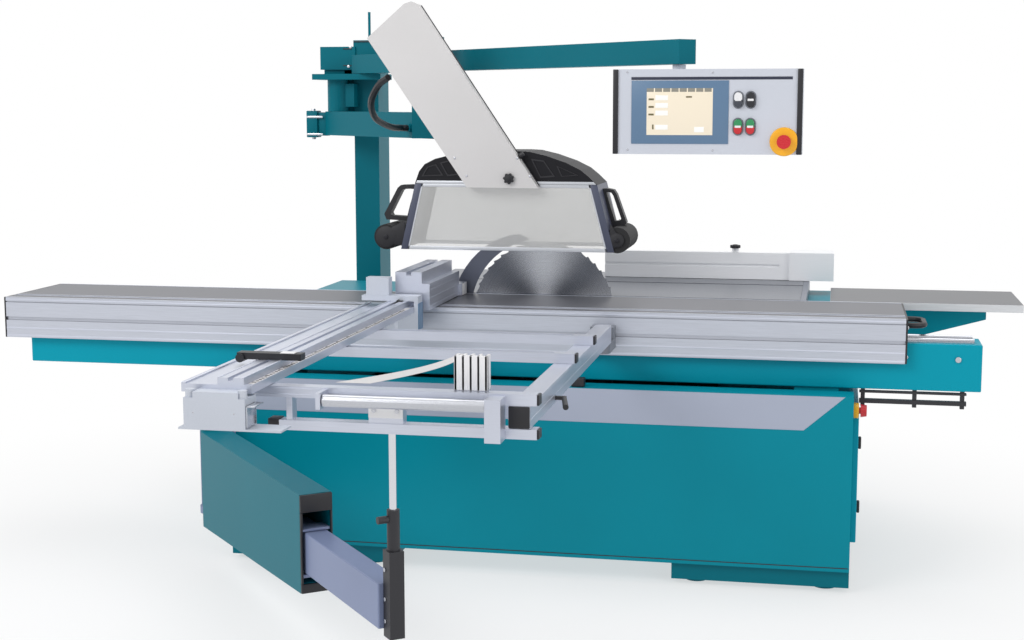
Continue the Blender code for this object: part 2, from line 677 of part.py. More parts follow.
# ---------------------------------------------------------------------------------------------
# Outrigger: a parallelogram of side bar, cross bars and front beam beside the cross-cut fence
# ---------------------------------------------------------------------------------------------
PIN_RADIUS = 0.008
BORE_CLEARANCE = 0.0008


def pin_above(place, low, high):
    """A swivel pin."""
    return rod((*place, low), (*place, high), PIN_RADIUS, sides=16)


def bore(place, low, high, radius=PIN_RADIUS):
    """The hole that a pin of the given radius turns in."""
    return rod((*place, low), (*place, high), radius + BORE_CLEARANCE, sides=16)


def side_bar():
    """Box-section bar from the table's hinge to the front beam, with pins for the cross bars."""
    half = SIDE_BAR_WIDTH / 2
    x = SIDE_PIN_X
    front = FRONT_BAR_Y - 0.018
    outline = [(x - half, front), (x + half, front), *arc((x, SWIVEL_Y), half, 0, 180, 12)]
    bar = plate(outline, "Z", SIDE_BAR_BOTTOM, SIDE_BAR_TOP)
    pins = [
        pin_above((x, y), SIDE_BAR_TOP - 0.01, BAR_TOP_Z - 0.006) for y in (INNER_BAR_Y, MIDDLE_BAR_Y)]
    hinge_hole = bore((x, SWIVEL_Y), SIDE_BAR_BOTTOM - 0.01, SIDE_BAR_TOP - 0.012, radius=0.010)
    front_hole = bore((x, FRONT_BAR_Y), SIDE_BAR_BOTTOM - 0.01, SIDE_BAR_TOP + 0.01)
    lever_hole = rod((x + half - 0.014, -1.700, SIDE_BAR_BOTTOM + 0.012), (x + half + 0.01, -1.700,
                                                                           SIDE_BAR_BOTTOM + 0.012), 0.0068)
    piece("side_bar", ALUMINIUM, bar, add=pins, cut=[hinge_hole, front_hole, lever_hole],
          pivot=(x, SWIVEL_Y, SIDE_BAR_BOTTOM))


def lock_lever():
    """Clamping lever on the side bar's outer side."""
    x = SIDE_PIN_X + SIDE_BAR_WIDTH / 2
    z = SIDE_BAR_BOTTOM + 0.012
    start = (x - 0.013, -1.700, z)
    shaft = rod(start, (x + 0.030, -1.700, z), 0.006, sides=16)
    grip = rod((x + 0.024, -1.700, z), (x + 0.040, -1.770, z - 0.012), 0.007, sides=16, end_radius=0.008)
    piece("lock_lever", BLACK, shaft, add=[grip], pivot=start)


def cross_bar(name, y, left):
    """A cross bar that swivels on the side bar's pin and ends under the fence."""
    half = BAR_DEPTH / 2
    right = SIDE_PIN_X + 0.033
    bar = box((left, y - half, BAR_BOTTOM_Z), (right, y + half, BAR_TOP_Z))
    hole = bore((SIDE_PIN_X, y), BAR_BOTTOM_Z - 0.01, BAR_TOP_Z - 0.005)
    groove = box(
        (left - 0.01, y - 0.006, BAR_TOP_Z - 0.004), (SIDE_PIN_X - 0.03, y + 0.006, BAR_TOP_Z + 0.01))
    piece(name, ALUMINIUM, bar, cut=[hole, groove], pivot=(SIDE_PIN_X, y, BAR_BOTTOM_Z))


def front_upper_bar():
    """Upper bar of the front beam, with the two brackets that hold the roller."""
    half = BAR_DEPTH / 2
    left = FENCE_PIN_X + 0.022
    right = SIDE_PIN_X + 0.045
    bar = box((left, FRONT_BAR_Y - half, BAR_BOTTOM_Z), (right, FRONT_BAR_Y + half, BAR_TOP_Z))
    z = BAR_TOP_Z - 0.026
    outer = ROLLER_Y - 0.022
    brackets = [
        box((-0.200, outer, z - 0.020), (-0.188, FRONT_BAR_Y - half + 0.004, BAR_TOP_Z - 0.004)),
        box((0.236, outer, LOWER_BAR_BOTTOM), (0.277, FRONT_BAR_Y - half - TOUCH, BAR_TOP_Z - 0.005)),
        box((0.236, outer, BAR_BOTTOM_Z + 0.002), (0.277, FRONT_BAR_Y - half + 0.004, BAR_TOP_Z - 0.005))]
    hole = rod((-0.1945, ROLLER_Y, z), (0.244, ROLLER_Y, z), 0.0060 + BORE_CLEARANCE, sides=16)
    pin_hole = bore((SIDE_PIN_X, FRONT_BAR_Y), BAR_BOTTOM_Z - 0.01, BAR_TOP_Z - 0.010)
    piece("front_upper_bar", ALUMINIUM, bar, add=brackets, cut=[hole, pin_hole],
          pivot=(SIDE_PIN_X, FRONT_BAR_Y, BAR_BOTTOM_Z))


def front_lower_bar():
    """Lower bar of the front beam, with the joint plate up to the upper bar and the swivel pin."""
    half = BAR_DEPTH / 2
    left = FENCE_PIN_X + 0.100
    right = SIDE_PIN_X + 0.045
    bar = box((left, FRONT_BAR_Y - half, LOWER_BAR_BOTTOM), (right, FRONT_BAR_Y + half, LOWER_BAR_TOP))
    post = [
        box((x, FRONT_BAR_Y - half + 0.003, LOWER_BAR_TOP - 0.01), (x + width, FRONT_BAR_Y + half - 0.003,
                                                                    BAR_BOTTOM_Z - TOUCH))
        for x, width in ((-0.080, 0.091), (left + 0.020, 0.016))]
    pin = pin_above((SIDE_PIN_X, FRONT_BAR_Y), LOWER_BAR_TOP - 0.01, BAR_TOP_Z - 0.012)
    piece(
        "front_lower_bar", ALUMINIUM, bar, add=[*post, pin],
        pivot=(SIDE_PIN_X, FRONT_BAR_Y, LOWER_BAR_BOTTOM))


def front_roller():
    """Loading roller in front of the upper bar."""
    z = BAR_TOP_Z - 0.026
    tube = rod((-0.186, ROLLER_Y, z), (0.234, ROLLER_Y, z), ROLLER_RADIUS)
    axle = rod((-0.1935, ROLLER_Y, z), (0.243, ROLLER_Y, z), 0.0060, sides=16)
    piece("front_roller", STEEL, tube, add=[axle], pivot=(0.0, ROLLER_Y, z))


def fence_rail():
    """Near part of the fence: a wide lower rail with a narrower channel on top."""
    lower = box(
        (FENCE_PIN_X - 0.110, FENCE_FAR_END, FENCE_BOTTOM),
        (FENCE_PIN_X + 0.077, -0.550, FENCE_BOTTOM + 0.021))
    upper = box(
        (FENCE_PIN_X - 0.013, FENCE_FAR_END, FENCE_BOTTOM + 0.015), (FENCE_PIN_X + 0.057, -0.550, FENCE_TOP))
    groove = box((FENCE_PIN_X + 0.015, FENCE_FAR_END - 0.01, FENCE_TOP - 0.008), (FENCE_PIN_X + 0.029, -0.540,
                                                                                  FENCE_TOP + 0.01))
    hole = bore((FENCE_PIN_X, SWIVEL_Y), FENCE_BOTTOM - 0.01, FENCE_BOTTOM + 0.012)
    piece("crosscut_fence", ALUMINIUM, lower, add=[upper], cut=[groove, hole], pivot=(FENCE_PIN_X, SWIVEL_Y,
                                                                                      FENCE_BOTTOM))


def fence_face():
    """Far part of the fence over the table: tall face, set-back upper rail and end block."""
    near = -0.550 + TOUCH
    far = -0.100
    face = box((-0.345, near, FENCE_BOTTOM), (-0.307, far, FENCE_BOTTOM + 0.092))
    upper = box((-0.430, near, FENCE_BOTTOM), (-0.335, far, FENCE_BOTTOM + 0.075))
    rail = box((-0.430, near, FENCE_BOTTOM + 0.070), (-0.335, far, FENCE_BOTTOM + 0.132))
    block = box((-0.330, far - 0.01, FENCE_BOTTOM - 0.001), (-0.295, -0.030, FENCE_BOTTOM + 0.044))
    slot = box((-0.390, near - 0.01, FENCE_BOTTOM + 0.120), (-0.372, far + 0.01, FENCE_BOTTOM + 0.14))
    piece("fence_face", ALUMINIUM, face, add=[upper, rail, block], cut=[slot], pivot=(FENCE_PIN_X, SWIVEL_Y,
                                                                                      FENCE_BOTTOM))


def fence_clamp():
    """Clamp under and beside the rail, which turns on the pin of the sliding table's lug."""
    low = TABLE_HEIGHT - 0.072 + RUN
    hub_top = FENCE_BOTTOM - TOUCH
    hub = rod((FENCE_PIN_X, SWIVEL_Y, low), (FENCE_PIN_X, SWIVEL_Y, hub_top), 0.034)
    arm = box((FENCE_PIN_X, SWIVEL_Y - 0.028, low + 0.004), (FENCE_PIN_X + 0.092, SWIVEL_Y + 0.028, hub_top))
    riser = box(
        (FENCE_PIN_X + 0.077 + TOUCH, SWIVEL_Y - 0.028, low + 0.004),
        (FENCE_PIN_X + 0.092, SWIVEL_Y + 0.028, FENCE_TOP + 0.014))
    wing = box(
        (FENCE_PIN_X - 0.110, SWIVEL_Y - 0.028, FENCE_TOP + TOUCH),
        (FENCE_PIN_X + 0.092, SWIVEL_Y + 0.028, FENCE_TOP + 0.018))
    cap = box(
        (FENCE_PIN_X - 0.095, SWIVEL_Y - 0.022, FENCE_TOP + 0.012),
        (FENCE_PIN_X - 0.014, SWIVEL_Y + 0.022, FENCE_TOP + 0.080))
    hole = bore((FENCE_PIN_X, SWIVEL_Y), low - 0.01, TABLE_HEIGHT - 0.072 + 0.042)
    piece(
        "fence_clamp", BLACK, hub, add=[arm, riser, wing, cap], cut=[hole],
        pivot=(FENCE_PIN_X, SWIVEL_Y, low))


def fence_end_block():
    """Casting under the rail's near end, with a thin guard plate."""
    top = FENCE_BOTTOM - 0.005
    low = top - 0.080
    block = box((FENCE_PIN_X - 0.085, END_BLOCK_FRONT, low), (FENCE_PIN_X + 0.077, -2.170, top))
    riser = box(
        (FENCE_PIN_X - 0.060, END_BLOCK_FRONT, top - 0.01),
        (FENCE_PIN_X + 0.060, FENCE_FAR_END - TOUCH, FENCE_BOTTOM + 0.010))
    blade = box(
        (FENCE_PIN_X - 0.100, END_BLOCK_FRONT, low - 0.001), (FENCE_PIN_X + 0.170, -2.175, low + 0.004))
    knobs = [
        rod((x, -2.235, top - 0.005), (x, -2.235, top + 0.020), 0.012, sides=16)
        for x in (FENCE_PIN_X - 0.072, FENCE_PIN_X + 0.066)]
    piece("fence_end_block", ALUMINIUM, block, add=[riser, blade, *knobs], pivot=(FENCE_PIN_X, SWIVEL_Y, low))


def flip_stop():
    """Flip-over stop hinged on a bar along the fence's left side."""
    x = FENCE_PIN_X - 0.060
    z = FENCE_TOP + 0.004
    y = -1.900
    hub = rod((x, y - 0.025, z), (x, y + 0.025, z), 0.012, sides=16)
    tongue = box((x - 0.010, y - 0.018, FENCE_TOP + TOUCH), (FENCE_PIN_X + 0.110, y + 0.018, z + 0.014))
    piece("flip_stop", BLACK, hub, add=[tongue], pivot=(x, y, z))


side_bar()
lock_lever()
cross_bar("cross_bar_inner", INNER_BAR_Y, FENCE_PIN_X + 0.022)
cross_bar("cross_bar_middle", MIDDLE_BAR_Y, FENCE_PIN_X + 0.022)
front_upper_bar()
front_lower_bar()
front_roller()
fence_rail()
fence_face()
fence_clamp()
fence_end_block()
flip_stop()

# ---------------------------------------------------------------------------------------------
# Swing arm under the outrigger
# ---------------------------------------------------------------------------------------------
def along_arm(low, high):
    """A box in the arm's own frame, along its heading from the pin."""
    return turned_to(box(low, high), (*ARM_PIN, 0.0), ARM_HEADING)


def at_post(offset_x, offset_y, z):
    """A point beside the post, in the machine's frame."""
    reach = Matrix.Rotation(ARM_HEADING, 3, "Z") @ Vector((POST_REACH, 0.0, 0.0))
    return (ARM_PIN[0] + reach.x + offset_x, ARM_PIN[1] + reach.y + offset_y, z)


def swing_arm():
    """Tapered box arm on a barrel, open at the nose for the telescopic beam."""
    wall = 0.006
    side = plate(
        [(0.055, ARM_HEEL_BOTTOM), (ARM_LENGTH, ARM_NOSE_BOTTOM), (ARM_LENGTH, ARM_TOP), (0.055, ARM_TOP)],
        "Y", -ARM_HALF_WIDTH, ARM_HALF_WIDTH)
    body = turned_to(side, (*ARM_PIN, 0.0), ARM_HEADING)
    low = ARM_HEEL_BOTTOM + 0.060 + RUN
    high = ARM_TOP + 0.020 - RUN
    barrel = rod((*ARM_PIN, low), (*ARM_PIN, high), 0.034)
    neck = along_arm((0.0, -0.028, low + 0.04), (0.070, 0.028, high - 0.04))
    bore_hole = rod((*ARM_PIN, low - 0.05), (*ARM_PIN, high + 0.05), 0.0128)
    hollow = along_arm(
        (0.120, -ARM_HALF_WIDTH + wall, TELESCOPE_BOTTOM - 0.030),
        (ARM_LENGTH + 0.02, ARM_HALF_WIDTH - wall, TELESCOPE_TOP + 0.060))
    piece("swing_arm", TEAL, body, add=[barrel, neck], cut=[bore_hole, hollow], pivot=(*ARM_PIN, 0.0))


def telescopic_beam():
    """Beam that slides out of the arm's nose."""
    end = POST_REACH - 0.024
    beam = along_arm(
        (end - TELESCOPE_LENGTH, -TELESCOPE_HALF_WIDTH, TELESCOPE_BOTTOM),
        (end, TELESCOPE_HALF_WIDTH, TELESCOPE_TOP))
    piece("telescopic_beam", LILAC, beam, pivot=at_post(0.0, 0.0, TELESCOPE_BOTTOM), edge=0.004)


def support_post():
    """Square post at the beam's end, with the clamp and knob for the support tube."""
    post_top = TELESCOPE_TOP + 0.093
    post = turned_to(
        box(
            (-0.0235, -0.021, TELESCOPE_BOTTOM - 0.019), (0.021, 0.021, post_top)), at_post(0, 0,
            0.0), ARM_HEADING)
    clamp = rod(at_post(0, 0, post_top - 0.01), at_post(0, 0, post_top + 0.110), 0.017)
    knob = turned_to(rod((0.0, -0.015, post_top + 0.085), (0.0, -0.045, post_top + 0.085), 0.010, sides=16),
                     at_post(0, 0, 0.0), ARM_HEADING)
    hole = rod(
        at_post(0, 0, TELESCOPE_BOTTOM + 0.060), at_post(0, 0, post_top + 0.2), TUBE_RADIUS + BORE_CLEARANCE)
    piece("support_post", BLACK, post, add=[clamp, knob], cut=[hole], pivot=at_post(0, 0, TELESCOPE_BOTTOM))


def support_tube():
    """Height-adjusting tube that stands just under the outrigger's lower bar."""
    tube = rod(
        at_post(0, 0, TELESCOPE_TOP + 0.010), at_post(0, 0, LOWER_BAR_BOTTOM - TUBE_CLEARANCE), TUBE_RADIUS)
    piece("support_tube", STEEL, tube, pivot=at_post(0, 0, TELESCOPE_TOP))


swing_arm()
telescopic_beam()
support_post()
support_tube()

# ---------------------------------------------------------------------------------------------
# Saw unit: tilts about the blade's line in the table top, and rises and falls on the tilt frame
# ---------------------------------------------------------------------------------------------
CARRIAGE_FRONT = 0.165
CARRIAGE_THICKNESS = 0.015
FRAME_FRONT = 0.225
FRAME_THICKNESS = 0.012
PULLEY_FRONT = 0.186
PULLEY_WIDTH = 0.028
SHAFT_RADIUS = 0.015
ARBOR_PULLEY = 0.036
MOTOR_PULLEY = 0.055
MOTOR_RADIUS = 0.085
MOTOR_X = 0.020
MOTOR_FRONT = 0.006
MOTOR_Z = ARBOR_Z - BLADE_RADIUS - 0.019 - MOTOR_RADIUS
SCORER_X = 0.400
SCORER_RADIUS = 0.060
SCORER_Z = TABLE_HEIGHT - SCORER_RADIUS - 0.002
KNIFE_GAP = 0.009
KNIFE_HALF = 0.0015
TOOTH_COUNT = 48
TOOTH_DEPTH = 0.007


def across(x, z, front, back, radius, sides=24):
    """A round bar along y."""
    return rod((x, front, z), (x, back, z), radius, sides)


def tilt_frame():
    """Cradle behind the blade: back plate, two guide ribs, end plates and the scoring blade's bearing."""
    top = TABLE_HEIGHT - 0.060
    low = MOTOR_Z - 0.175
    left, right = -0.420, SCORER_X + 0.100
    back = FRAME_FRONT + FRAME_THICKNESS
    plate_body = box((left, FRAME_FRONT, low), (right, back, top))
    rib_front = CARRIAGE_FRONT + CARRIAGE_THICKNESS + 0.0005
    ribs = [box((x, rib_front, low), (x + 0.025, FRAME_FRONT + 0.002, top)) for x in (-0.155, 0.200)]
    ends = [
        plate([(0.040, top), (back, top), (back, low), (0.180, low), (0.040, low + 0.12)], "X", x, x + 0.008)
        for x in (left, right - 0.008)]
    bearing = box(
        (SCORER_X - 0.015, 0.014, SCORER_Z - 0.028),
        (SCORER_X + 0.015, FRAME_FRONT + 0.002, SCORER_Z + 0.028))
    hole = across(SCORER_X, SCORER_Z, 0.0, 0.060, 0.0108, sides=16)
    piece(
        "tilt_frame", TEAL, plate_body, add=[*ribs, *ends, bearing], cut=[hole],
        pivot=(0.0, 0.0, TABLE_HEIGHT))


def lift_carriage():
    """Plate that rises on the ribs, with the arbor's bearing housing and the riving knife's foot."""
    back = CARRIAGE_FRONT + CARRIAGE_THICKNESS
    body = box((-0.170, CARRIAGE_FRONT, MOTOR_Z - 0.100), (0.240, back, ARBOR_Z + 0.036))
    housing = across(0.0, ARBOR_Z, 0.025, back - 0.005, 0.040)
    foot_z = ARBOR_Z - 0.134
    foot = [
        box((-0.345, CARRIAGE_FRONT, foot_z), (-0.160, back, foot_z + 0.050)),
        box((-0.345, KNIFE_HALF + TOUCH, foot_z), (-0.305, CARRIAGE_FRONT + 0.002, foot_z + 0.050))]
    holes = [
        across(0.0, ARBOR_Z, 0.0, back + 0.02, SHAFT_RADIUS + BORE_CLEARANCE),
        across(MOTOR_X, MOTOR_Z, CARRIAGE_FRONT - 0.01, back + 0.01, 0.016)]
    piece("lift_carriage", GREY, body, add=[housing, *foot], cut=holes, pivot=(0.0, CARRIAGE_FRONT, ARBOR_Z))


def saw_arbor():
    """Arbor with its pulley, the fixed collar behind the blade and the flange in front."""
    shaft = across(0.0, ARBOR_Z, -0.0072, PULLEY_FRONT + PULLEY_WIDTH + 0.002, SHAFT_RADIUS)
    half = BLADE_THICKNESS / 2 + TOUCH
    flange = across(0.0, ARBOR_Z, -half - 0.0045, -half, 0.030)
    collar = across(0.0, ARBOR_Z, half, 0.012, 0.035)
    pulley = across(0.0, ARBOR_Z, PULLEY_FRONT, PULLEY_FRONT + PULLEY_WIDTH, ARBOR_PULLEY)
    piece("saw_arbor", STEEL, shaft, add=[flange, collar, pulley], pivot=(0.0, 0.0, ARBOR_Z))


def toothed_disc(x, z, radius, teeth, depth, half):
    """A saw blade's outline, thickened about the blade's plane."""
    outline = []
    for tooth in range(teeth):
        start = 2 * math.pi * tooth / teeth
        for share, inset in ((0.0, 0.0), (0.12, depth), (0.55, depth * 0.8)):
            angle = start + share * 2 * math.pi / teeth
            outline.append((x + (radius - inset) * math.cos(angle), z + (radius - inset) * math.sin(angle)))
    return plate(outline, "Y", -half, half)


def saw_blade():
    """Main blade with its bore."""
    disc = toothed_disc(0.0, ARBOR_Z, BLADE_RADIUS, TOOTH_COUNT, TOOTH_DEPTH, BLADE_THICKNESS / 2)
    hole = across(0.0, ARBOR_Z, -0.02, 0.02, SHAFT_RADIUS + TOUCH)
    piece("saw_blade", STEEL, disc, cut=[hole], pivot=(0.0, 0.0, ARBOR_Z))


def riving_knife():
    """Crescent behind the blade: its inner edge follows the blade, its outer edge widens towards the foot."""
    inner = BLADE_RADIUS + KNIFE_GAP
    tip_angle, table_angle, foot_angle = 102.0, 166.0, 200.0
    outer_edge = []
    steps = 16
    for step in range(steps + 1):
        angle = tip_angle + (foot_angle - tip_angle) * step / steps
        share = (angle - tip_angle) / (table_angle - tip_angle)
        reach = inner + 0.008 + 0.064 * share ** 0.45
        turn = math.radians(angle)
        outer_edge.append((reach * math.cos(turn), ARBOR_Z + reach * math.sin(turn)))
    inner_edge = arc((0.0, ARBOR_Z), inner, foot_angle, tip_angle, steps)
    piece("riving_knife", BLACK, plate(outer_edge + inner_edge, "Y", -KNIFE_HALF, KNIFE_HALF),
          pivot=(0.0, 0.0, ARBOR_Z))


def drive_motor():
    """Motor on the carriage's front, below the blade, with its terminal box."""
    body = across(MOTOR_X, MOTOR_Z, MOTOR_FRONT, CARRIAGE_FRONT - TOUCH, MOTOR_RADIUS, sides=32)
    terminals = box((MOTOR_X + 0.05, 0.050, MOTOR_Z - 0.04), (MOTOR_X + 0.125, 0.130, MOTOR_Z + 0.04))
    hole = across(MOTOR_X, MOTOR_Z, 0.148, CARRIAGE_FRONT + 0.01, 0.0128)
    piece("drive_motor", GREY, body, add=[terminals], cut=[hole], pivot=(MOTOR_X, CARRIAGE_FRONT, MOTOR_Z))


def motor_pulley():
    """Pulley on the motor's shaft."""
    shaft = across(MOTOR_X, MOTOR_Z, 0.150, PULLEY_FRONT + PULLEY_WIDTH, 0.012)
    pulley = across(MOTOR_X, MOTOR_Z, PULLEY_FRONT + 0.001, PULLEY_FRONT + PULLEY_WIDTH - 0.001, MOTOR_PULLEY)
    piece("motor_pulley", STEEL, shaft, add=[pulley], pivot=(MOTOR_X, 0.0, MOTOR_Z))


def belt_outline(extra):
    """A loop round both pulleys, standing off them by extra."""
    top = Vector((0.0, ARBOR_Z))
    low = Vector((MOTOR_X, MOTOR_Z))
    span = top - low
    heading = math.degrees(math.atan2(span.y, span.x))
    wrap = math.degrees(math.acos((MOTOR_PULLEY - ARBOR_PULLEY) / span.length))
    upper = arc(top, ARBOR_PULLEY + extra, heading - wrap, heading + wrap, 12)
    lower = arc(low, MOTOR_PULLEY + extra, heading + wrap, heading - wrap + 360, 12)
    return upper + lower


def drive_belt():
    """Flat belt round both pulleys."""
    front = PULLEY_FRONT + 0.004
    back = PULLEY_FRONT + PULLEY_WIDTH - 0.004
    loop = plate(belt_outline(0.007), "Y", front, back)
    inside = plate(belt_outline(0.001), "Y", front - 0.01, back + 0.01)
    piece("drive_belt", BLACK, loop, cut=[inside], pivot=(0.0, 0.0, ARBOR_Z))


def scoring_blade():
    """Small scoring blade ahead of the main blade, on a stub shaft."""
    disc = toothed_disc(SCORER_X, SCORER_Z, SCORER_RADIUS, 20, 0.004, 0.0015)
    hub = across(SCORER_X, SCORER_Z, 0.0, 0.008, 0.020)
    shaft = across(SCORER_X, SCORER_Z, 0.004, 0.050, 0.010, sides=16)
    piece("scoring_blade", STEEL, disc, add=[hub, shaft], pivot=(SCORER_X, 0.0, SCORER_Z))


tilt_frame()
lift_carriage()
saw_arbor()
saw_blade()
riving_knife()
drive_motor()
motor_pulley()
drive_belt()
scoring_blade()

# ---------------------------------------------------------------------------------------------
# Overhead guard
# ---------------------------------------------------------------------------------------------
SUPPORT_HALF_WIDTH = 0.040
GUARD_SHAFT = 0.020
HOOD_SHAFT = 0.012
CONDUIT_RADIUS = 0.013
GLAND_PLACE = 0.693             # along the support arm
GLAND_LENGTH = 0.020
ROLLER_HEIGHT = 0.217           # hood rollers' axles above the table top
HOOD_ROLLER_RADIUS = 0.048

GUARD_X, GUARD_Z = GUARD_PIN[0], TABLE_HEIGHT + GUARD_PIN[1]
HOOD_X, HOOD_Z = HOOD_PIN[0], TABLE_HEIGHT + HOOD_PIN[1]
SUPPORT_RUN = Vector(SUPPORT_END) - Vector(SUPPORT_START)
SUPPORT_HEADING = math.atan2(SUPPORT_RUN.y, SUPPORT_RUN.x)


def on_support(along, sideways, z):
    """A point in the support arm's own frame; sideways is positive towards the column's left."""
    turned = Matrix.Rotation(SUPPORT_HEADING, 3, "Z") @ Vector((along, sideways, 0.0))
    return (SUPPORT_START[0] + turned.x, SUPPORT_START[1] + turned.y, z)


def guard_support_arm():
    """Arm from the column's hanger to the upright behind the hood, with the guard's shaft and conduit gland."""
    low = TABLE_HEIGHT + SUPPORT_BOTTOM
    high = low + SUPPORT_HEIGHT
    bar = turned_to(
        box((-0.045, -SUPPORT_HALF_WIDTH, low), (SUPPORT_RUN.length, SUPPORT_HALF_WIDTH, high)),
        (*SUPPORT_START, 0.0), SUPPORT_HEADING)
    knee = high + 0.110
    upright = [
        box((GUARD_X - 0.060, BRACKET_FRONT, low + 0.004), (GUARD_X + 0.060, SUPPORT_END[1] + 0.010, knee)),
        box((GUARD_X - 0.055, BRACKET_FRONT + 0.001, knee - 0.01), (GUARD_X + 0.055, BRACKET_FRONT + 0.070,
                                                                    GUARD_Z + 0.060))]
    shaft = across(GUARD_X, GUARD_Z, COVER_FRONT + 0.0065, BRACKET_FRONT + 0.02, GUARD_SHAFT)
    gland_z = (low + high) / 2 - 0.011
    gland = rod(
        on_support(GLAND_PLACE, -SUPPORT_HALF_WIDTH + 0.004, gland_z),
        on_support(GLAND_PLACE, -SUPPORT_HALF_WIDTH - GLAND_LENGTH, gland_z), 0.018)
    piece("guard_support_arm", TEAL, bar, add=[*upright, shaft, gland], pivot=(*SUPPORT_START, low))


def cover_outline(inset):
    """Outline of the guard arm's cover, (x, z)."""
    raised = TABLE_HEIGHT
    return [
        (-0.644 + 1.5 * inset, raised + 0.958 - inset * 0.5), (-0.267 + 0.5 * inset, raised + 0.410 + inset),
        (0.002 - 1.9 * inset, raised + 0.409 + inset), (-0.448 - 0.8 * inset, raised + 1.079 - inset),
        (-0.474 - 0.3 * inset, raised + 1.090 - inset), (-0.500 + 0.2 * inset, raised + 1.082 - inset)]


def guard_arm():
    """Sheet cover over the guard's parallel arm, open behind, with bosses for the shaft and the hood's pin."""
    wall = 0.004
    shell = plate(cover_outline(0.0), "Y", COVER_FRONT, COVER_BACK)
    inside = plate(cover_outline(wall), "Y", COVER_FRONT + wall, COVER_BACK + 0.01)
    bosses = [
        across(GUARD_X, GUARD_Z, COVER_FRONT + 0.002, COVER_BACK - 0.002, 0.036),
        across(HOOD_X, HOOD_Z, COVER_FRONT + 0.002, HOOD_FRONT - RUN, 0.028),
        across(HOOD_X, HOOD_Z, COVER_FRONT + 0.002, HOOD_FRONT + 0.015, HOOD_SHAFT)]
    bore_hole = across(
        GUARD_X, GUARD_Z, COVER_FRONT + 0.0055, COVER_BACK + 0.01, GUARD_SHAFT + BORE_CLEARANCE)
    hollow_shell("guard_arm", WHITE, shell, inside, bosses, [bore_hole], (GUARD_X, COVER_FRONT, GUARD_Z))


def hollow_shell(name, finish, shell, inside, add, cut, pivot):
    """A shell that is hollowed first and then given its bosses and holes."""
    body = piece(name, finish, shell, add=[], cut=[inside], pivot=pivot)
    for number, (operation,
            tool_mesh) in enumerate([("UNION", m) for m in add] + [("DIFFERENCE", m) for m in cut]):
        tool = bpy.data.objects.new(f"{name}_detail_{number + 1}", tool_mesh)
        cutters.objects.link(tool)
        tool.parent = root
        tool.hide_render = True
        tool.display_type = "WIRE"
        join = body.modifiers.new(tool.name, "BOOLEAN")
        join.operation = operation
        join.object = tool
        join.solver = "EXACT"


def hood_edge(z, side):
    """The window's left or right edge at a height above the table top."""
    share = (z - HOOD_BOTTOM) / (HOOD_SPLIT - HOOD_BOTTOM)
    return -0.535 + 0.057 * share if side == "left" else 0.278 - 0.065 * share


def window_outline(low, high, inset):
    return [
        (hood_edge(low, "left") + inset, TABLE_HEIGHT + low),
        (hood_edge(low, "right") - inset, TABLE_HEIGHT + low),
        (hood_edge(high, "right") - inset, TABLE_HEIGHT + high),
        (hood_edge(high, "left") + inset, TABLE_HEIGHT + high)]


def hood_window():
    """Lower part of the hood: front and back walls joined by end strips, with ears and grab handles."""
    shell = plate(window_outline(HOOD_BOTTOM, HOOD_SPLIT, 0.0), "Y", HOOD_FRONT, HOOD_BACK)
    inside = plate(
        window_outline(HOOD_BOTTOM - 0.01, HOOD_SPLIT + 0.01, HOOD_WALL), "Y", HOOD_FRONT + HOOD_WALL,
        HOOD_BACK - HOOD_WALL)
    axle_z = TABLE_HEIGHT + ROLLER_HEIGHT
    add = []
    cut = []
    for x, inner in ((-0.594, -0.520), (0.288, 0.255)):
        tip = x - 0.022 if x < 0 else x + 0.022
        for front, back in ((HOOD_FRONT, HOOD_FRONT + HOOD_WALL), (HOOD_BACK - HOOD_WALL, HOOD_BACK)):
            ear = [(inner, axle_z - 0.032), (tip, axle_z - 0.022), (tip, axle_z + 0.022),
                (inner, axle_z + 0.060)]
            add.append(plate(ear if x > 0 else ear[::-1], "Y", front, back))
        cut.append(across(x, axle_z, HOOD_FRONT - 0.01, HOOD_BACK + 0.01, 0.0068, sides=16))
    cut.append(box((0.200, HOOD_FRONT + HOOD_WALL + 0.0005, TABLE_HEIGHT + HOOD_BOTTOM - 0.01),
                   (0.300, HOOD_BACK - HOOD_WALL - 0.0005, axle_z + 0.062)))
    top = TABLE_HEIGHT + 0.403
    left_bow = [(-0.483, 0.040, top), (-0.560, 0.040, top), (-0.626, 0.040, top - 0.105),
        (-0.506, 0.040, top - 0.118)]
    right_bow = [(0.222, 0.040, top), (0.262, 0.040, top), (0.305, 0.040, top - 0.100),
        (0.244, 0.040, top - 0.108)]
    add += [bent_tube(smooth_points(bow, steps=3), 0.010) for bow in (left_bow, right_bow)]
    hollow_shell("hood_window", GREY, shell, inside, add, cut, (HOOD_X, HOOD_FRONT, HOOD_Z))


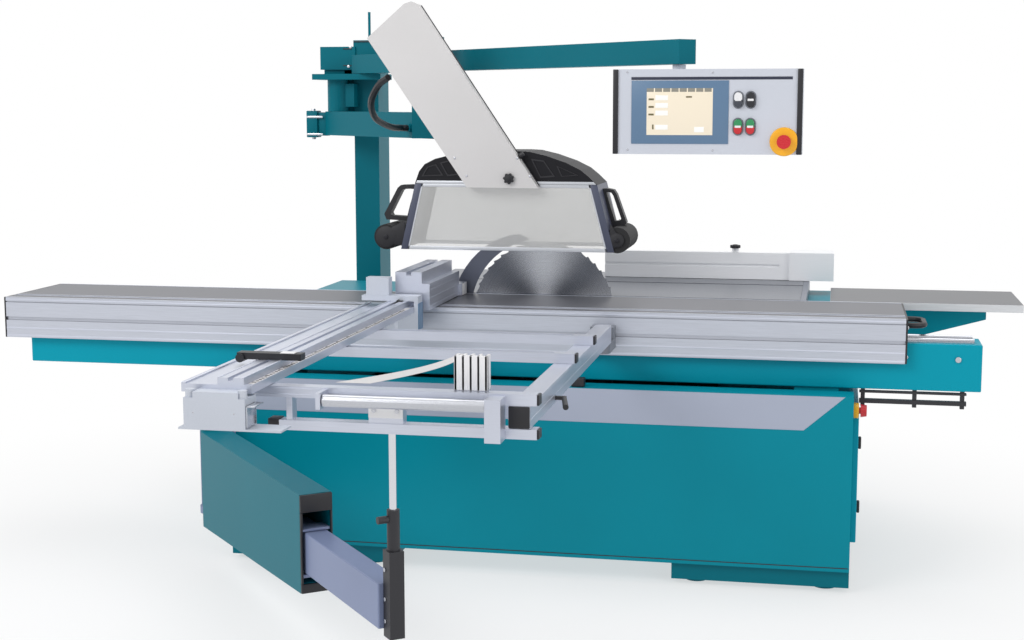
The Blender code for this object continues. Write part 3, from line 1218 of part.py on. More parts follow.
def hood_top():
    """Moulded top of the hood, open below, on the guard arm's pin."""
    split = TABLE_HEIGHT + HOOD_SPLIT + TOUCH
    crown = [
        (0.203, 0.009), (0.182, 0.029), (0.151, 0.054), (0.098, 0.080), (0.025, 0.105), (-0.039, 0.120),
        (-0.082, 0.122), (-0.180, 0.122), (-0.260, 0.119), (-0.300, 0.116), (-0.348, 0.105), (-0.400, 0.092),
        (-0.440, 0.072), (-0.462, 0.045), (-0.474, 0.012)]
    outline = [(-0.478, split), (0.213, split)] + [(x, split + z) for x, z in crown]
    inner = [(-0.473, split - 0.01), (0.208, split - 0.01)] + [
        (x * 0.975, split + z - HOOD_WALL) for x, z in crown]
    shell = plate(outline, "Y", HOOD_FRONT, HOOD_BACK)
    inside = plate(inner, "Y", HOOD_FRONT + HOOD_WALL, HOOD_BACK - HOOD_WALL)
    hole = across(HOOD_X, HOOD_Z, HOOD_FRONT - 0.01, HOOD_FRONT + 0.02, HOOD_SHAFT + BORE_CLEARANCE)
    piece("hood_top", BLACK, shell, cut=[inside, hole], pivot=(HOOD_X, HOOD_FRONT, HOOD_Z))


def hood_roller(name, x):
    """Pressure roller at one end of the hood, with its axle in the ears."""
    z = TABLE_HEIGHT + ROLLER_HEIGHT
    drum = across(x, z, HOOD_FRONT + HOOD_WALL + 0.004, HOOD_BACK - HOOD_WALL - 0.004, HOOD_ROLLER_RADIUS)
    axle = across(x, z, HOOD_FRONT + 0.0005, HOOD_BACK - 0.0005, 0.006, sides=16)
    piece(name, BLACK, drum, add=[axle], pivot=(x, 0.0, z))


def guard_conduit():
    """Loop of conduit from the support arm's gland to the cover's edge."""
    raised = TABLE_HEIGHT
    gland_z = raised + SUPPORT_BOTTOM + SUPPORT_HEIGHT / 2 - 0.011
    out = -SUPPORT_HALF_WIDTH - GLAND_LENGTH
    route = smooth_points([
        on_support(GLAND_PLACE, out - 2 * RUN, gland_z), on_support(GLAND_PLACE, out - 0.014, gland_z),
        on_support(GLAND_PLACE, out - 0.034, gland_z + 0.001),
        (-0.674, 0.270, raised + 0.626), (-0.690, 0.120, raised + 0.661), (-0.672, 0.000, raised + 0.722),
        (-0.622, -0.070, raised + 0.785), (-0.570, -0.1175, raised + 0.8145)])
    piece("guard_conduit", BLACK, bent_tube(route, CONDUIT_RADIUS), pivot=route[0])


guard_support_arm()
guard_arm()
hood_window()
hood_top()
hood_roller("hood_roller_left", -0.594)
hood_roller("hood_roller_right", 0.288)
guard_conduit()

# ---------------------------------------------------------------------------------------------
# Overhead controls
# ---------------------------------------------------------------------------------------------
CONTROL_HALF_WIDTH = 0.036
PANEL_PIN_REACH = 2.140

CONTROL_Z = TABLE_HEIGHT + CONTROL_BOTTOM
PANEL_PIN = (
    CONTROL_PIN[0] + PANEL_PIN_REACH * math.cos(CONTROL_HEADING),
    CONTROL_PIN[1] + PANEL_PIN_REACH * math.sin(CONTROL_HEADING))


def control_arm():
    """Long arm over the machine, turning on the column's pin, with the bore for the panel's stem."""
    outline = [
        (0.0, -CONTROL_HALF_WIDTH), (CONTROL_LENGTH, -CONTROL_HALF_WIDTH),
        (CONTROL_LENGTH, CONTROL_HALF_WIDTH),
        *arc((0.0, 0.0), CONTROL_HALF_WIDTH, 90, 270, 12)]
    bar = turned_to(
        plate(outline, "Z", CONTROL_Z, CONTROL_Z + CONTROL_HEIGHT), (*CONTROL_PIN, 0.0), CONTROL_HEADING)
    holes = [
        rod((*CONTROL_PIN, CONTROL_Z - 0.01), (*CONTROL_PIN, CONTROL_Z + 0.052), 0.0168),
        rod((*PANEL_PIN, CONTROL_Z - 0.01), (*PANEL_PIN, CONTROL_Z + 0.042), 0.0108)]
    piece("control_arm", TEAL, bar, cut=holes, pivot=(*CONTROL_PIN, CONTROL_Z))


def control_panel():
    """Panel housing on a stem under the arm's end, with bores for its buttons."""
    low = TABLE_HEIGHT + PANEL_BOTTOM
    back = PANEL_FRONT + PANEL_DEPTH
    housing = box((PANEL_LEFT, PANEL_FRONT, low), (PANEL_LEFT + PANEL_WIDTH, back, low + PANEL_HEIGHT))
    x, y = PANEL_PIN
    add = [
        box((x - 0.030, back - 0.01, low + 0.170), (x + 0.030, y + 0.010, low + 0.240)),
        rod((x, y, low + 0.165), (x, y, CONTROL_Z - RUN), 0.022),
        rod((x, y, CONTROL_Z - 0.02), (x, y, CONTROL_Z + 0.040), 0.010)]
    cut = [across(x, z, PANEL_FRONT - 0.01, PANEL_FRONT + 0.030, 0.0090, sides=16) for x,
        z in button_places()]
    stop_x, stop_z = stop_place()
    cut.append(across(stop_x, stop_z, PANEL_FRONT - 0.01, PANEL_FRONT + 0.040, 0.0130, sides=16))
    piece("control_panel", GREY, housing, add=add, cut=cut, pivot=(*PANEL_PIN, low))


def button_places():
    """Centres of the four push buttons, (x, z)."""
    return [(PANEL_LEFT + across_x, TABLE_HEIGHT + up) for up in (0.730, 0.646) for across_x in (0.399,
        0.438)]


def stop_place():
    """Centre of the panel's emergency stop, (x, z)."""
    return (PANEL_LEFT + 0.544, TABLE_HEIGHT + 0.599)


def panel_stop_button():
    """Mushroom head of the emergency stop."""
    x, z = stop_place()
    stem = across(x, z, PANEL_FRONT - 0.020, PANEL_FRONT + 0.030, 0.0120, sides=16)
    head = across(x, z, PANEL_FRONT - 0.034, PANEL_FRONT - 0.014, 0.022)
    piece("panel_stop_button", RED, stem, add=[head], pivot=(x, PANEL_FRONT, z))


def push_buttons():
    """Four push buttons with round stems."""
    for number, (x, z) in enumerate(button_places()):
        stem = across(x, z, PANEL_FRONT - 0.010, PANEL_FRONT + 0.024, 0.0080, sides=16)
        cap = box((x - 0.013, PANEL_FRONT - 0.014, z - 0.024), (x + 0.013, PANEL_FRONT - 0.006, z + 0.024))
        piece(f"push_button_{number + 1}", GREY, stem, add=[cap], pivot=(x, PANEL_FRONT, z))


control_arm()
control_panel()
panel_stop_button()
push_buttons()
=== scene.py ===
# %% [markdown]
# # A sliding table panel saw
# The machine's working parts already exist as solids that move on joints. This lesson gives them their
# finishes and adds the small things that make a machine look made: screws, knobs, trims, catches and
# buttons. Loading the frame comes first, because every place below is worked out from where the solids are.

# %% Load the frame
import math

import bmesh
import bpy
from mathutils import Matrix, Vector


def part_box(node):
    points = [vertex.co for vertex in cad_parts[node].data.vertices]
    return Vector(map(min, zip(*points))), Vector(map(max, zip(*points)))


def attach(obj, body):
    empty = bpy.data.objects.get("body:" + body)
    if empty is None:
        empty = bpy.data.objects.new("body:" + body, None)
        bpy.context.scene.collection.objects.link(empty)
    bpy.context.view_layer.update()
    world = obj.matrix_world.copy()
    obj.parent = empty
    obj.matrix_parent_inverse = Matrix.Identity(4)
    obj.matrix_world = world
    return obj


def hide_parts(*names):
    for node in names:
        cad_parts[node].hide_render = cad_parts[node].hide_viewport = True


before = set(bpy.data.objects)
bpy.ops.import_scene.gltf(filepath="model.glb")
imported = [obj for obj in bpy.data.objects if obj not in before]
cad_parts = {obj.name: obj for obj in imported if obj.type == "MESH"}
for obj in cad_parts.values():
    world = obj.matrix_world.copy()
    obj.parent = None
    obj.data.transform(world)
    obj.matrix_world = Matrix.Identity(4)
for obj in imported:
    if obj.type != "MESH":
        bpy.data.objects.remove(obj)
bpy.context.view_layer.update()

# %% [markdown]
# A saw's drawings are measured from the blade: along the cut, away from the operator, and up from the
# floor. The same habit keeps the numbers here short, so one function turns a place beside the blade into a
# place in the scene.

# %% Places beside the blade
blade_low, blade_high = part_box("saw_blade")
BLADE_PLANE = (blade_low + blade_high) / 2
TABLE_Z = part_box("cast_table")[1].z


def at(x, y, z):
    """A place measured from the blade's plane and centre line, with z from the floor."""
    return Vector((BLADE_PLANE.x + x, BLADE_PLANE.y + y, z))


def x_at(x):
    """The x of such a place alone."""
    return BLADE_PLANE.x + x


def y_at(y):
    """The y of such a place alone."""
    return BLADE_PLANE.y + y


def above(x, y, z):
    """The same, with z measured up from the table top."""
    return at(x, y, TABLE_Z + z)


print("table top", round(TABLE_Z, 3), "blade centre", round(BLADE_PLANE.z, 3))

# %% [markdown]
# ## Camera and light
# The camera stands well in front of the machine and a little to its right, so its long lines stay long. The
# floor is pale and fades to white with distance from the machine, so that it meets the background without a
# seam but keeps the shadow. Big soft lamps act like a studio's light boxes: one high on the left, a weaker
# one on the right, one overhead.

# %% Camera
camera_data = bpy.data.cameras.new("camera")
camera_data.lens = 56.2
camera_data.sensor_width = 36.0
camera_data.clip_end = 100.0
camera = bpy.data.objects.new("camera", camera_data)
camera.location = at(1.074, -5.924, 1.653)
camera.rotation_euler = [math.radians(angle) for angle in (82.19, 0.06, 11.43)]
bpy.context.scene.collection.objects.link(camera)
bpy.context.scene.camera = camera
bpy.context.scene.view_settings.view_transform = "Standard"
print("camera at", [round(value, 3) for value in camera.location])


# %% Lamps
def soft_lamp(name, place, target, size, watts):
    """An area lamp that faces a target."""
    data = bpy.data.lights.new(name, "AREA")
    data.shape = "RECTANGLE"
    data.size, data.size_y = size
    data.energy = watts
    lamp = bpy.data.objects.new(name, data)
    lamp.location = place
    lamp.rotation_euler = (Vector(target) - Vector(place)).to_track_quat("-Z", "Y").to_euler()
    bpy.context.scene.collection.objects.link(lamp)


soft_lamp("key_lamp", (-3.5, -4.5, 5.0), (0.0, 0.0, 0.8), (4.0, 3.0), 210)
soft_lamp("fill_lamp", (5.0, -3.5, 3.0), (0.0, 0.0, 0.8), (3.0, 3.0), 70)
soft_lamp("top_lamp", (0.5, 1.0, 5.5), (0.0, 0.0, 0.5), (5.0, 4.0), 120)

# %% [markdown]
# ## Finishes
# Each finish starts from what it is: powder coat, anodised extrusion, ground iron, moulded plastic. One
# helper turns a written colour into the linear values that shaders use, and one adds a node with its
# settings and links. Short ones on top of it stretch a place, read a noise, carry a value to a range, mix
# two colours and tilt the surface. Patterns read object coordinates, which are metres here, so a pattern's
# scale is one over its size.


# %% Colour and node helpers
MM = 0.001


def linear(hex_colour):
    """An sRGB hex colour as linear red, green, blue and alpha."""
    channels = [int(hex_colour[k:k + 2], 16) / 255 for k in (1, 3, 5)]
    return (*[c / 12.92 if c <= 0.04045 else ((c + 0.055) / 1.055) ** 2.4 for c in channels], 1.0)


def add_node(tree, kind, settings=None, links=None):
    """Add a shader node with values for its properties or inputs, and links from other nodes."""
    made = tree.nodes.new("ShaderNode" + kind)
    for name, value in (settings or {}).items():
        if isinstance(name, str) and hasattr(made, name) and name not in made.inputs:
            setattr(made, name, value)
        else:
            made.inputs[name].default_value = value
    for name, output in (links or {}).items():
        tree.links.new(output, made.inputs[name])
    return made


def place_on(tree):
    """The place on the object that a shader is working on."""
    return add_node(tree, "TexCoord").outputs["Object"]


def stretched(tree, place, scale):
    """A place with each of its axes scaled."""
    return add_node(tree, "Mapping", {"Scale": scale}, {"Vector": place}).outputs[0]


def noise(tree, place, scale, detail):
    """A noise pattern's value at a place."""
    return add_node(tree, "TexNoise", {"Scale": scale, "Detail": detail}, {"Vector": place}).outputs["Fac"]


def ranged(tree, value, low, high, to_low=0.0, to_high=1.0):
    """A value carried from one range to another."""
    ends = {"From Min": low, "From Max": high, "To Min": to_low, "To Max": to_high}
    return add_node(tree, "MapRange", ends, {"Value": value}).outputs[0]


def mixed(tree, share, first, second):
    """A colour between two others."""
    return add_node(tree, "Mix", {"data_type": "RGBA", 6: first, 7: second}, {"Factor": share}).outputs[2]


def raise_grain(tree, shader, height, strength):
    """Let a pattern tilt the surface a little."""
    raised = add_node(tree, "Bump", {"Strength": strength, "Distance": 0.3 * MM}, {"Height": height})
    tree.links.new(raised.outputs[0], shader.inputs["Normal"])


def start_material(name, colour, roughness, metallic=0.0, **shader_values):
    """A Principled material with its constants on the shader's own sockets."""
    material = bpy.data.materials.new(name)
    material.use_nodes = True
    tree = material.node_tree
    shader = tree.nodes["Principled BSDF"]
    shader.inputs["Base Color"].default_value = linear(colour)
    shader.inputs["Roughness"].default_value = roughness
    shader.inputs["Metallic"].default_value = metallic
    for socket, value in shader_values.items():
        shader.inputs[socket.replace("_", " ")].default_value = value
    return material, tree, shader


def grained(name, colour, roughness, metallic=0.0, grain_mm=2.0, stretch=(1, 1, 1), tone=0.06,
            rough_swing=0.08, bump=0.08, **shader_values):
    """A finish with a fine grain: it shifts the tone a little, and moves roughness and the surface."""
    material, tree, shader = start_material(name, colour, roughness, metallic, **shader_values)
    place = place_on(tree)
    grain = noise(tree, stretched(tree, place, stretch), 1 / (grain_mm * MM), 3.0)
    cloud = noise(tree, place, 3.5, 2.0)
    both = add_node(tree, "Math", {"operation": "ADD"}, {0: grain, 1: cloud})
    base = linear(colour)
    darker = [channel * (1 - tone) for channel in base[:3]] + [1.0]
    lighter = [min(1.0, channel * (1 + tone)) for channel in base[:3]] + [1.0]
    share = ranged(tree, both.outputs[0], 0.6, 1.4)
    tree.links.new(mixed(tree, share, darker, lighter), shader.inputs["Base Color"])
    gloss = ranged(tree, grain, 0.3, 0.7, roughness - rough_swing / 2, roughness + rough_swing / 2)
    tree.links.new(gloss, shader.inputs["Roughness"])
    if bump:
        raise_grain(tree, shader, grain, bump)
    return material


# %% [markdown]
# Powder coat is paint baked from dust, so it has a soft orange-peel of about 2 mm and an even satin gloss.
# Anodised extrusions carry fine die lines along their length, drawn here about 1.5 mm apart so that they
# show. Ground iron has fine marks that all run one way. Moulded plastic has a faint grain.

# %% Powder coats, metals and plastics
coat = {"grain_mm": 2.0, "tone": 0.04, "rough_swing": 0.06, "bump": 0.10, "IOR": 1.5}
teal_coat = {**coat, "Specular_IOR_Level": 0.12}
moulded = {"grain_mm": 2.5, "tone": 0.03, "bump": 0.03, "IOR": 1.49}
lit = {"grain_mm": 3.0, "tone": 0.01, "rough_swing": 0.02, "bump": 0.0}
printed = {"grain_mm": 3.0, "tone": 0.02, "rough_swing": 0.02, "bump": 0.0}
finishes = {
    "teal": grained("powder coat teal", "#008496", 0.38, **teal_coat),
    # One teal coat: its lighter and darker copies below paint light and shade onto the parts that wear them.
    "teal_painted_light": grained("powder coat teal with painted light", "#0096AC", 0.38, **teal_coat),
    "teal_painted_shade": grained("powder coat teal with painted shade", "#006B7A", 0.4, **teal_coat),
    "black_coat": grained("powder coat black", "#1E1E24", 0.48, **coat),
    "lilac": grained("powder coat lilac grey", "#7B87A8", 0.42, **coat),
    "pale_coat": grained("powder coat light grey", "#D0CECE", 0.45, **coat),
    "stripe": grained("powder coat silver grey", "#A2A9BB", 0.42, **coat),
    "grey_coat": grained("powder coat grey", "#6F737C", 0.45, **coat),
    "extrusion_x": grained(
        "anodised extrusion along x", "#C6CAD6", 0.36, 0.85, 1.5, (0.02, 1, 1), 0.08, 0.1, 0.12),
    "fence_rail": grained("brushed fence rail", "#80848F", 0.38, 0.85, 1.5, (1, 0.02, 1), 0.08, 0.1, 0.12),
    "extrusion_y": grained(
        "anodised extrusion along y", "#C6CAD6", 0.36, 0.85, 1.5, (1, 0.02, 1), 0.08, 0.1, 0.12),
    "ground_iron": grained("ground cast iron", "#7E8189", 0.36, 0.75, 1.2, (1, 0.05, 1), 0.1, 0.12, 0.1),
    "cast_alloy": grained("sand cast alloy", "#BFC4CE", 0.5, 0.5, 1.5, (1, 1, 1), 0.08, 0.1, 0.3),
    "turned_steel": grained("turned steel", "#BCBEC4", 0.26, 1.0, 0.8, (1, 1, 1), 0.06, 0.08, 0.05),
    "chromed": grained("chromed tube", "#D4D6DA", 0.12, 1.0, 3.0, (1, 1, 1), 0.03, 0.04, 0.0),
    "blade_steel": grained("ground blade steel", "#8E9097", 0.27, 0.95, 0.9, (1, 1, 1), 0.07, 0.12, 0.06),
    "knife_steel": grained("ground knife steel", "#6F7380", 0.34, 0.8, 1.0, (1, 1, 1), 0.08, 0.1, 0.06),
    "blackened": grained("blackened steel", "#26262B", 0.4, 0.55, 1.0, (1, 1, 1), 0.1, 0.1, 0.06),
    "black_plastic": grained(
        "moulded black plastic", "#1C1C21", 0.46, 0.0, 1.0, tone=0.06, bump=0.15, IOR=1.46),
    "rubber": grained("black rubber", "#19191B", 0.75, 0.0, 1.5, tone=0.1, bump=0.25, IOR=1.52),
    "red_plastic": grained("moulded red plastic", "#C8202A", 0.28, **moulded),
    "yellow_plastic": grained("moulded yellow plastic", "#F2B01E", 0.34, **moulded),
    "white_plastic": grained(
        "moulded white plastic", "#E6E6E8", 0.34, 0.0, 2.5, tone=0.02, bump=0.03, IOR=1.49),
    "bezel": grained("moulded blue-grey bezel", "#5B7896", 0.38, 0.0, 1.5, tone=0.03, bump=0.05, IOR=1.49),
    "hood_rail": grained("anodised hood rail", "#C3C6CC", 0.34, 0.5, 1.5, (0.05, 1, 1), 0.05, 0.08, 0.06),
    "slate": grained("powder coat slate", "#474C60", 0.4, **coat),
    "bright_fence": grained(
        "clear anodised fence face", "#F4F5F8", 0.34, 0.05, 1.5, (0.02, 1, 1), 0.03, 0.08, 0.08),
    "screen_glass": grained("lit screen glass", "#F2E6D0", 0.18, **lit),
    "screen_field": grained("lit screen field", "#FBFAF6", 0.18, **lit),
    "screen_band": grained("lit screen band", "#8C8A80", 0.18, **printed),
    "screen_mark": grained("lit screen mark", "#6E6648", 0.18, **printed),
    "navy_print": grained("dark printed stripe", "#20253A", 0.4, 0.0, 2.0, tone=0.03, bump=0.02),
    "panel_silver": grained("powder coat panel silver", "#C6CAD4", 0.42, **coat),
    "hood_plastic": grained(
        "moulded hood plastic", "#141419", 0.5, 0.0, 1.0, tone=0.06, bump=0.15, Specular_IOR_Level=0.22),
    "clip_steel": grained("zinc plated clip", "#C9CCD2", 0.25, 1.0, 1.0, (1, 1, 1), 0.06, 0.1, 0.06),
}
print("finishes", len(finishes))

# %% [markdown]
# Most finishes always use the same finish slot of the record, so a table gives it, and a piece names its slot
# only where it differs. The slot is worked out for each new piece but not stored on it.

# %% Slots
SLOTS = {
    "push_handle": ["black_plastic", "blackened", "screen_mark", "navy_print", "grey_coat"],
    "push_button_1": ["white_plastic", "yellow_plastic", "screen_glass", "screen_field"],
    "hood_window": ["bezel", "slate", "screen_band", "clear_hood"],
    "support_tube": ["turned_steel", "clip_steel"],
    "guard_arm": ["pale_coat", "hood_rail"],
    "crosscut_fence": ["extrusion_x", "extrusion_y"],
    "telescopic_beam": ["lilac"],
    "plinth_right": ["black_coat"],
    "control_panel": ["stripe"],
    "column": ["teal_painted_shade"],
}
SLOT_OF = {finish: slot + "_finish" for slot, worn_by in SLOTS.items() for finish in worn_by}
print("slots", len(SLOTS))

# %% [markdown]
# ## Finishes on the solids
# A table says which finish each solid wears. The sliding table is one extrusion whose material blends two
# tones by how far a face looks up, darker on its top and lighter on its sides. The blade's colour carries
# a painted fan of highlights that follows the angle round its hub, over fine ring-shaped grinding marks.

# %% Dress the solids
WEARS = {
    "teal": ["base_cabinet"],
    # The lighter and darker teal copies are painted light and painted shade on one teal coat.
    "teal_painted_light": ["guide_beam", "end_door"],
    "teal_painted_shade": ["column", "guard_support_arm", "control_arm", "tilt_frame", "swing_arm", "plinth_left",
                  "plinth_right"],
    "black_coat": ["switch_rail", "support_post"],
    "lilac": ["arm_pivot_bracket", "telescopic_beam"],
    "pale_coat": ["guard_arm"],
    "panel_silver": ["control_panel"],
    "hood_plastic": ["hood_top"],
    "grey_coat": ["drive_motor", "hinge_bracket", "lift_carriage"],
    "extrusion_x": ["cross_bar_inner", "cross_bar_middle", "front_upper_bar", "front_lower_bar"],
    "bright_fence": ["rip_fence"],
    "fence_rail": ["rip_fence_rail"],
    "extrusion_y": ["side_bar", "crosscut_fence", "fence_face"],
    "ground_iron": ["cast_table"],
    "cast_alloy": ["fence_end_block", "fence_clamp"],
    "turned_steel": ["guide_rail", "roller_cage", "front_roller", "saw_arbor", "motor_pulley"],
    "chromed": ["support_tube"],
    "blade_steel": ["scoring_blade"],
    "knife_steel": ["riving_knife"],
    "black_plastic": ["table_end_cap_left", "table_end_cap_right", "push_handle", "lock_lever",
                      "flip_stop", "guard_conduit", "push_button_2"],
    "rubber": ["drive_belt", "hood_roller_left", "hood_roller_right"],
    "red_plastic": ["base_stop_button", "panel_stop_button"],
    "white_plastic": ["push_button_1", "push_button_3", "push_button_4"],
}


def dress(node, material):
    """Put one finish on a solid."""
    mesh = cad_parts[node].data
    mesh.materials.clear()
    mesh.materials.append(material)


for finish, nodes in WEARS.items():
    for node in nodes:
        dress(node, finishes[finish])


def tone_by_facing(name, side_colour, top_colour, metallic):
    """Two tones in one material, split by the way a face looks: the top colour facing up, the side colour
    elsewhere.
    """
    material, tree, shader = start_material(name, top_colour, 0.40, metallic)
    grain = noise(tree, stretched(tree, place_on(tree), (0.02, 1, 1)), 1 / (1.5 * MM), 3.0)
    way = add_node(tree, "SeparateXYZ", None, {"Vector": add_node(tree, "NewGeometry").outputs["Normal"]})
    up = ranged(tree, way.outputs["Z"], 0.6, 0.8)
    shade = add_node(tree, "Mix", {"data_type": "RGBA", "blend_type": "MULTIPLY", 0: 0.25},
                     {6: mixed(tree, up, linear(side_colour), linear(top_colour)), 7: grain})
    tree.links.new(shade.outputs[2], shader.inputs["Base Color"])
    raise_grain(tree, shader, grain, 0.1)
    return material


dress("sliding_table", tone_by_facing("extruded table with darker top", "#C9CDD8", "#6E6F76", 0.6))
dress("extension_table", tone_by_facing("sheet table with bright edge", "#E2E3E6", "#6E6F73", 0.35))


# How many painted highlight fans go round the blade.
PAINTED_FANS_ROUND = 4


def blade_with_painted_fans():
    """Ground steel with circular grinding marks and a painted fan of highlights, so its colour follows the
    angle.
    """
    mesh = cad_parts["saw_blade"].data
    spans = [[vertex.co[axis] for vertex in mesh.vertices] for axis in range(3)]
    middle = [(min(span) + max(span)) / 2 for span in spans]
    material, tree, shader = start_material("ground saw blade with painted fan highlights", "#8E9097", 0.27, 0.95)
    from_hub = add_node(tree, "VectorMath", {"operation": "SUBTRACT", 1: middle}, {0: place_on(tree)})
    hub = from_hub.outputs["Vector"]
    parts = add_node(tree, "SeparateXYZ", None, {"Vector": hub})
    angle = add_node(tree, "Math", {"operation": "ARCTAN2"}, {0: parts.outputs["Z"], 1: parts.outputs["X"]})
    fans = add_node(tree, "Math", {"operation": "MULTIPLY", 1: PAINTED_FANS_ROUND}, {0: angle.outputs[0]})
    painted_fan = add_node(tree, "Math", {"operation": "COSINE"}, {0: fans.outputs[0]})
    reach = add_node(tree, "VectorMath", {"operation": "LENGTH"}, {0: hub})
    rings = add_node(tree, "CombineXYZ", None, {"X": reach.outputs["Value"]})
    marks = noise(tree, rings.outputs[0], 1 / (0.8 * MM), 2.0)
    # Painted highlights: the fan round the hub paints light and shade into the colour, added to the real
    # grinding marks.
    light = add_node(tree, "Math", {"operation": "MULTIPLY_ADD", 1: 0.4}, {0: painted_fan.outputs[0], 2: marks})
    share = ranged(tree, light.outputs[0], 0.1, 0.9)
    tone = mixed(tree, share, linear("#63666D"), linear("#C3C5CA"))
    tree.links.new(tone, shader.inputs["Base Color"])
    tree.links.new(ranged(tree, marks, 0.0, 1.0, 0.20, 0.34), shader.inputs["Roughness"])
    return material


dress("saw_blade", blade_with_painted_fans())


def clear_hood():
    """Tinted polycarbonate: mostly see-through, with a soft sheen."""
    material, tree, shader = start_material("tinted polycarbonate", "#E8E8E6", 0.18, 0.0, IOR=1.58)
    shader.inputs["Alpha"].default_value = 0.38
    haze = noise(tree, place_on(tree), 12.0, 3.0)
    tree.links.new(ranged(tree, haze, 0.0, 1.0, 0.12, 0.30), shader.inputs["Roughness"])
    return material


finishes["clear_hood"] = clear_hood()
dress("hood_window", finishes["clear_hood"])
dressed = ({node for nodes in WEARS.values() for node in nodes}
           | {"saw_blade", "sliding_table", "extension_table", "hood_window"})
print("left undressed:", sorted(set(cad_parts) - dressed))

# %% [markdown]
# ## Modelling helpers
# New pieces start as bmesh shapes. A finished piece is one mesh whose vertices are already in place, so
# that its object sits at the origin. Edges are rounded with a bevel, because a real edge always catches
# some light.


# %% Mesh helpers
WELD_DISTANCE = 0.00001
SLIGHT_TURN, SQUARE_TURN = 0.6, 1.2


def finish_piece(name, work, finish, body, smooth=35, slot=None):
    """Turn a bmesh into a piece that wears a finish and rides on a body."""
    bmesh.ops.remove_doubles(work, verts=work.verts, dist=WELD_DISTANCE)
    bmesh.ops.recalc_face_normals(work, faces=work.faces)
    mesh = bpy.data.meshes.new(name)
    work.to_mesh(mesh)
    work.free()
    mesh.shade_smooth()
    mesh.set_sharp_from_angle(angle=math.radians(smooth))
    mesh.materials.append(finishes[finish])
    made = bpy.data.objects.new(name, mesh)
    bpy.context.scene.collection.objects.link(made)
    slot = slot or SLOT_OF[finish]
    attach(made, body)
    return made


def soften(work, lines, offset, segments=2):
    """Round some edges of a bmesh."""
    bmesh.ops.bevel(
        work, geom=lines, offset=offset, affect="EDGES", segments=segments, profile=0.5, material=-1)


def sharp_edges(work, angle):
    """The edges where two faces turn by more than an angle in radians."""
    return [line for line in work.edges if line.calc_face_angle(0) > angle]


def rim_edges(lines):
    """The edges that border a flat end with many sides."""
    return [line for line in lines if any(len(face.verts) > 4 for face in line.link_faces)]


def thicken(work, places, shift):
    """A face through some places, pushed by a shift into a closed solid."""
    face = work.faces.new([work.verts.new(place) for place in places])
    grown = bmesh.ops.extrude_face_region(work, geom=[face])["geom"]
    moved = [item for item in grown if isinstance(item, bmesh.types.BMVert)]
    bmesh.ops.translate(work, vec=shift, verts=moved)


def add_box(work, low, high, edge=0.0):
    """A box with softened edges in a bmesh."""
    low = Vector(low)
    high = Vector(high)
    new = bmesh.ops.create_cube(work, size=1.0)["verts"]
    bmesh.ops.scale(work, vec=high - low, verts=new)
    bmesh.ops.translate(work, vec=(low + high) / 2, verts=new)
    if edge:
        soften(work, list({line for vert in new for line in vert.link_edges}), edge)


def add_rod(work, start, end, radius, sides=32, end_radius=None, edge=0.0):
    """A round bar or cone between two points in a bmesh, with its rims softened."""
    start = Vector(start)
    run = Vector(end) - start
    turn = Vector((0, 0, 1)).rotation_difference(run).to_matrix().to_4x4()
    new = bmesh.ops.create_cone(
        work, cap_ends=True, segments=sides, radius1=radius,
        radius2=radius if end_radius is None else end_radius, depth=run.length,
        matrix=Matrix.Translation(start + run / 2) @ turn)["verts"]
    if edge:
        soften(work, rim_edges({line for vert in new for line in vert.link_edges}), edge)


def add_screw(work, place, axis, radius):
    """A low cap screw with a six-sided socket, standing on a surface."""
    axis = Vector(axis)
    place = Vector(place)
    add_rod(work, place, place + axis * radius * 0.55, radius, sides=20, edge=radius * 0.15)
    add_rod(work, place + axis * radius * 0.50, place + axis * radius * 0.62, radius * 0.5, sides=6)


def box_piece(name, boxes, finish, body, edge=0.0015, slot=None):
    """A piece made of one or more boxes."""
    work = bmesh.new()
    for low, high in boxes:
        add_box(work, low, high, edge)
    return finish_piece(name, work, finish, body, slot=slot)


def rod_piece(name, rods, finish, body, edge=0.001, slot=None):
    """A piece made of round bars, each given as start, end and radius."""
    work = bmesh.new()
    for start, end, radius in rods:
        add_rod(work, start, end, radius, edge=edge)
    return finish_piece(name, work, finish, body, slot=slot)


def flat_piece(name, outline, axis, thickness, finish, body, edge=0.0, slot=None):
    """A flat plate: an outline of places, thickened along an axis."""
    work = bmesh.new()
    thicken(work, outline, Vector(axis) * thickness)
    if edge:
        soften(work, list(work.edges), edge)
    return finish_piece(name, work, finish, body, slot=slot)


def screws(name, places, axis, radius, body):
    """A group of cap screws as one piece."""
    work = bmesh.new()
    for place in places:
        add_screw(work, place, axis, radius)
    return finish_piece(name, work, "turned_steel", body)


FRONT = Vector((0, -1, 0))
UP = Vector((0, 0, 1))
RIGHT = Vector((1, 0, 0))

# %% [markdown]
# ## Cabinet
# A bare grey stripe runs along the top of the front and ends in a slant, like the two-colour paint on such
# machines. A seam near the floor and the catches of the end door break up the large panels.

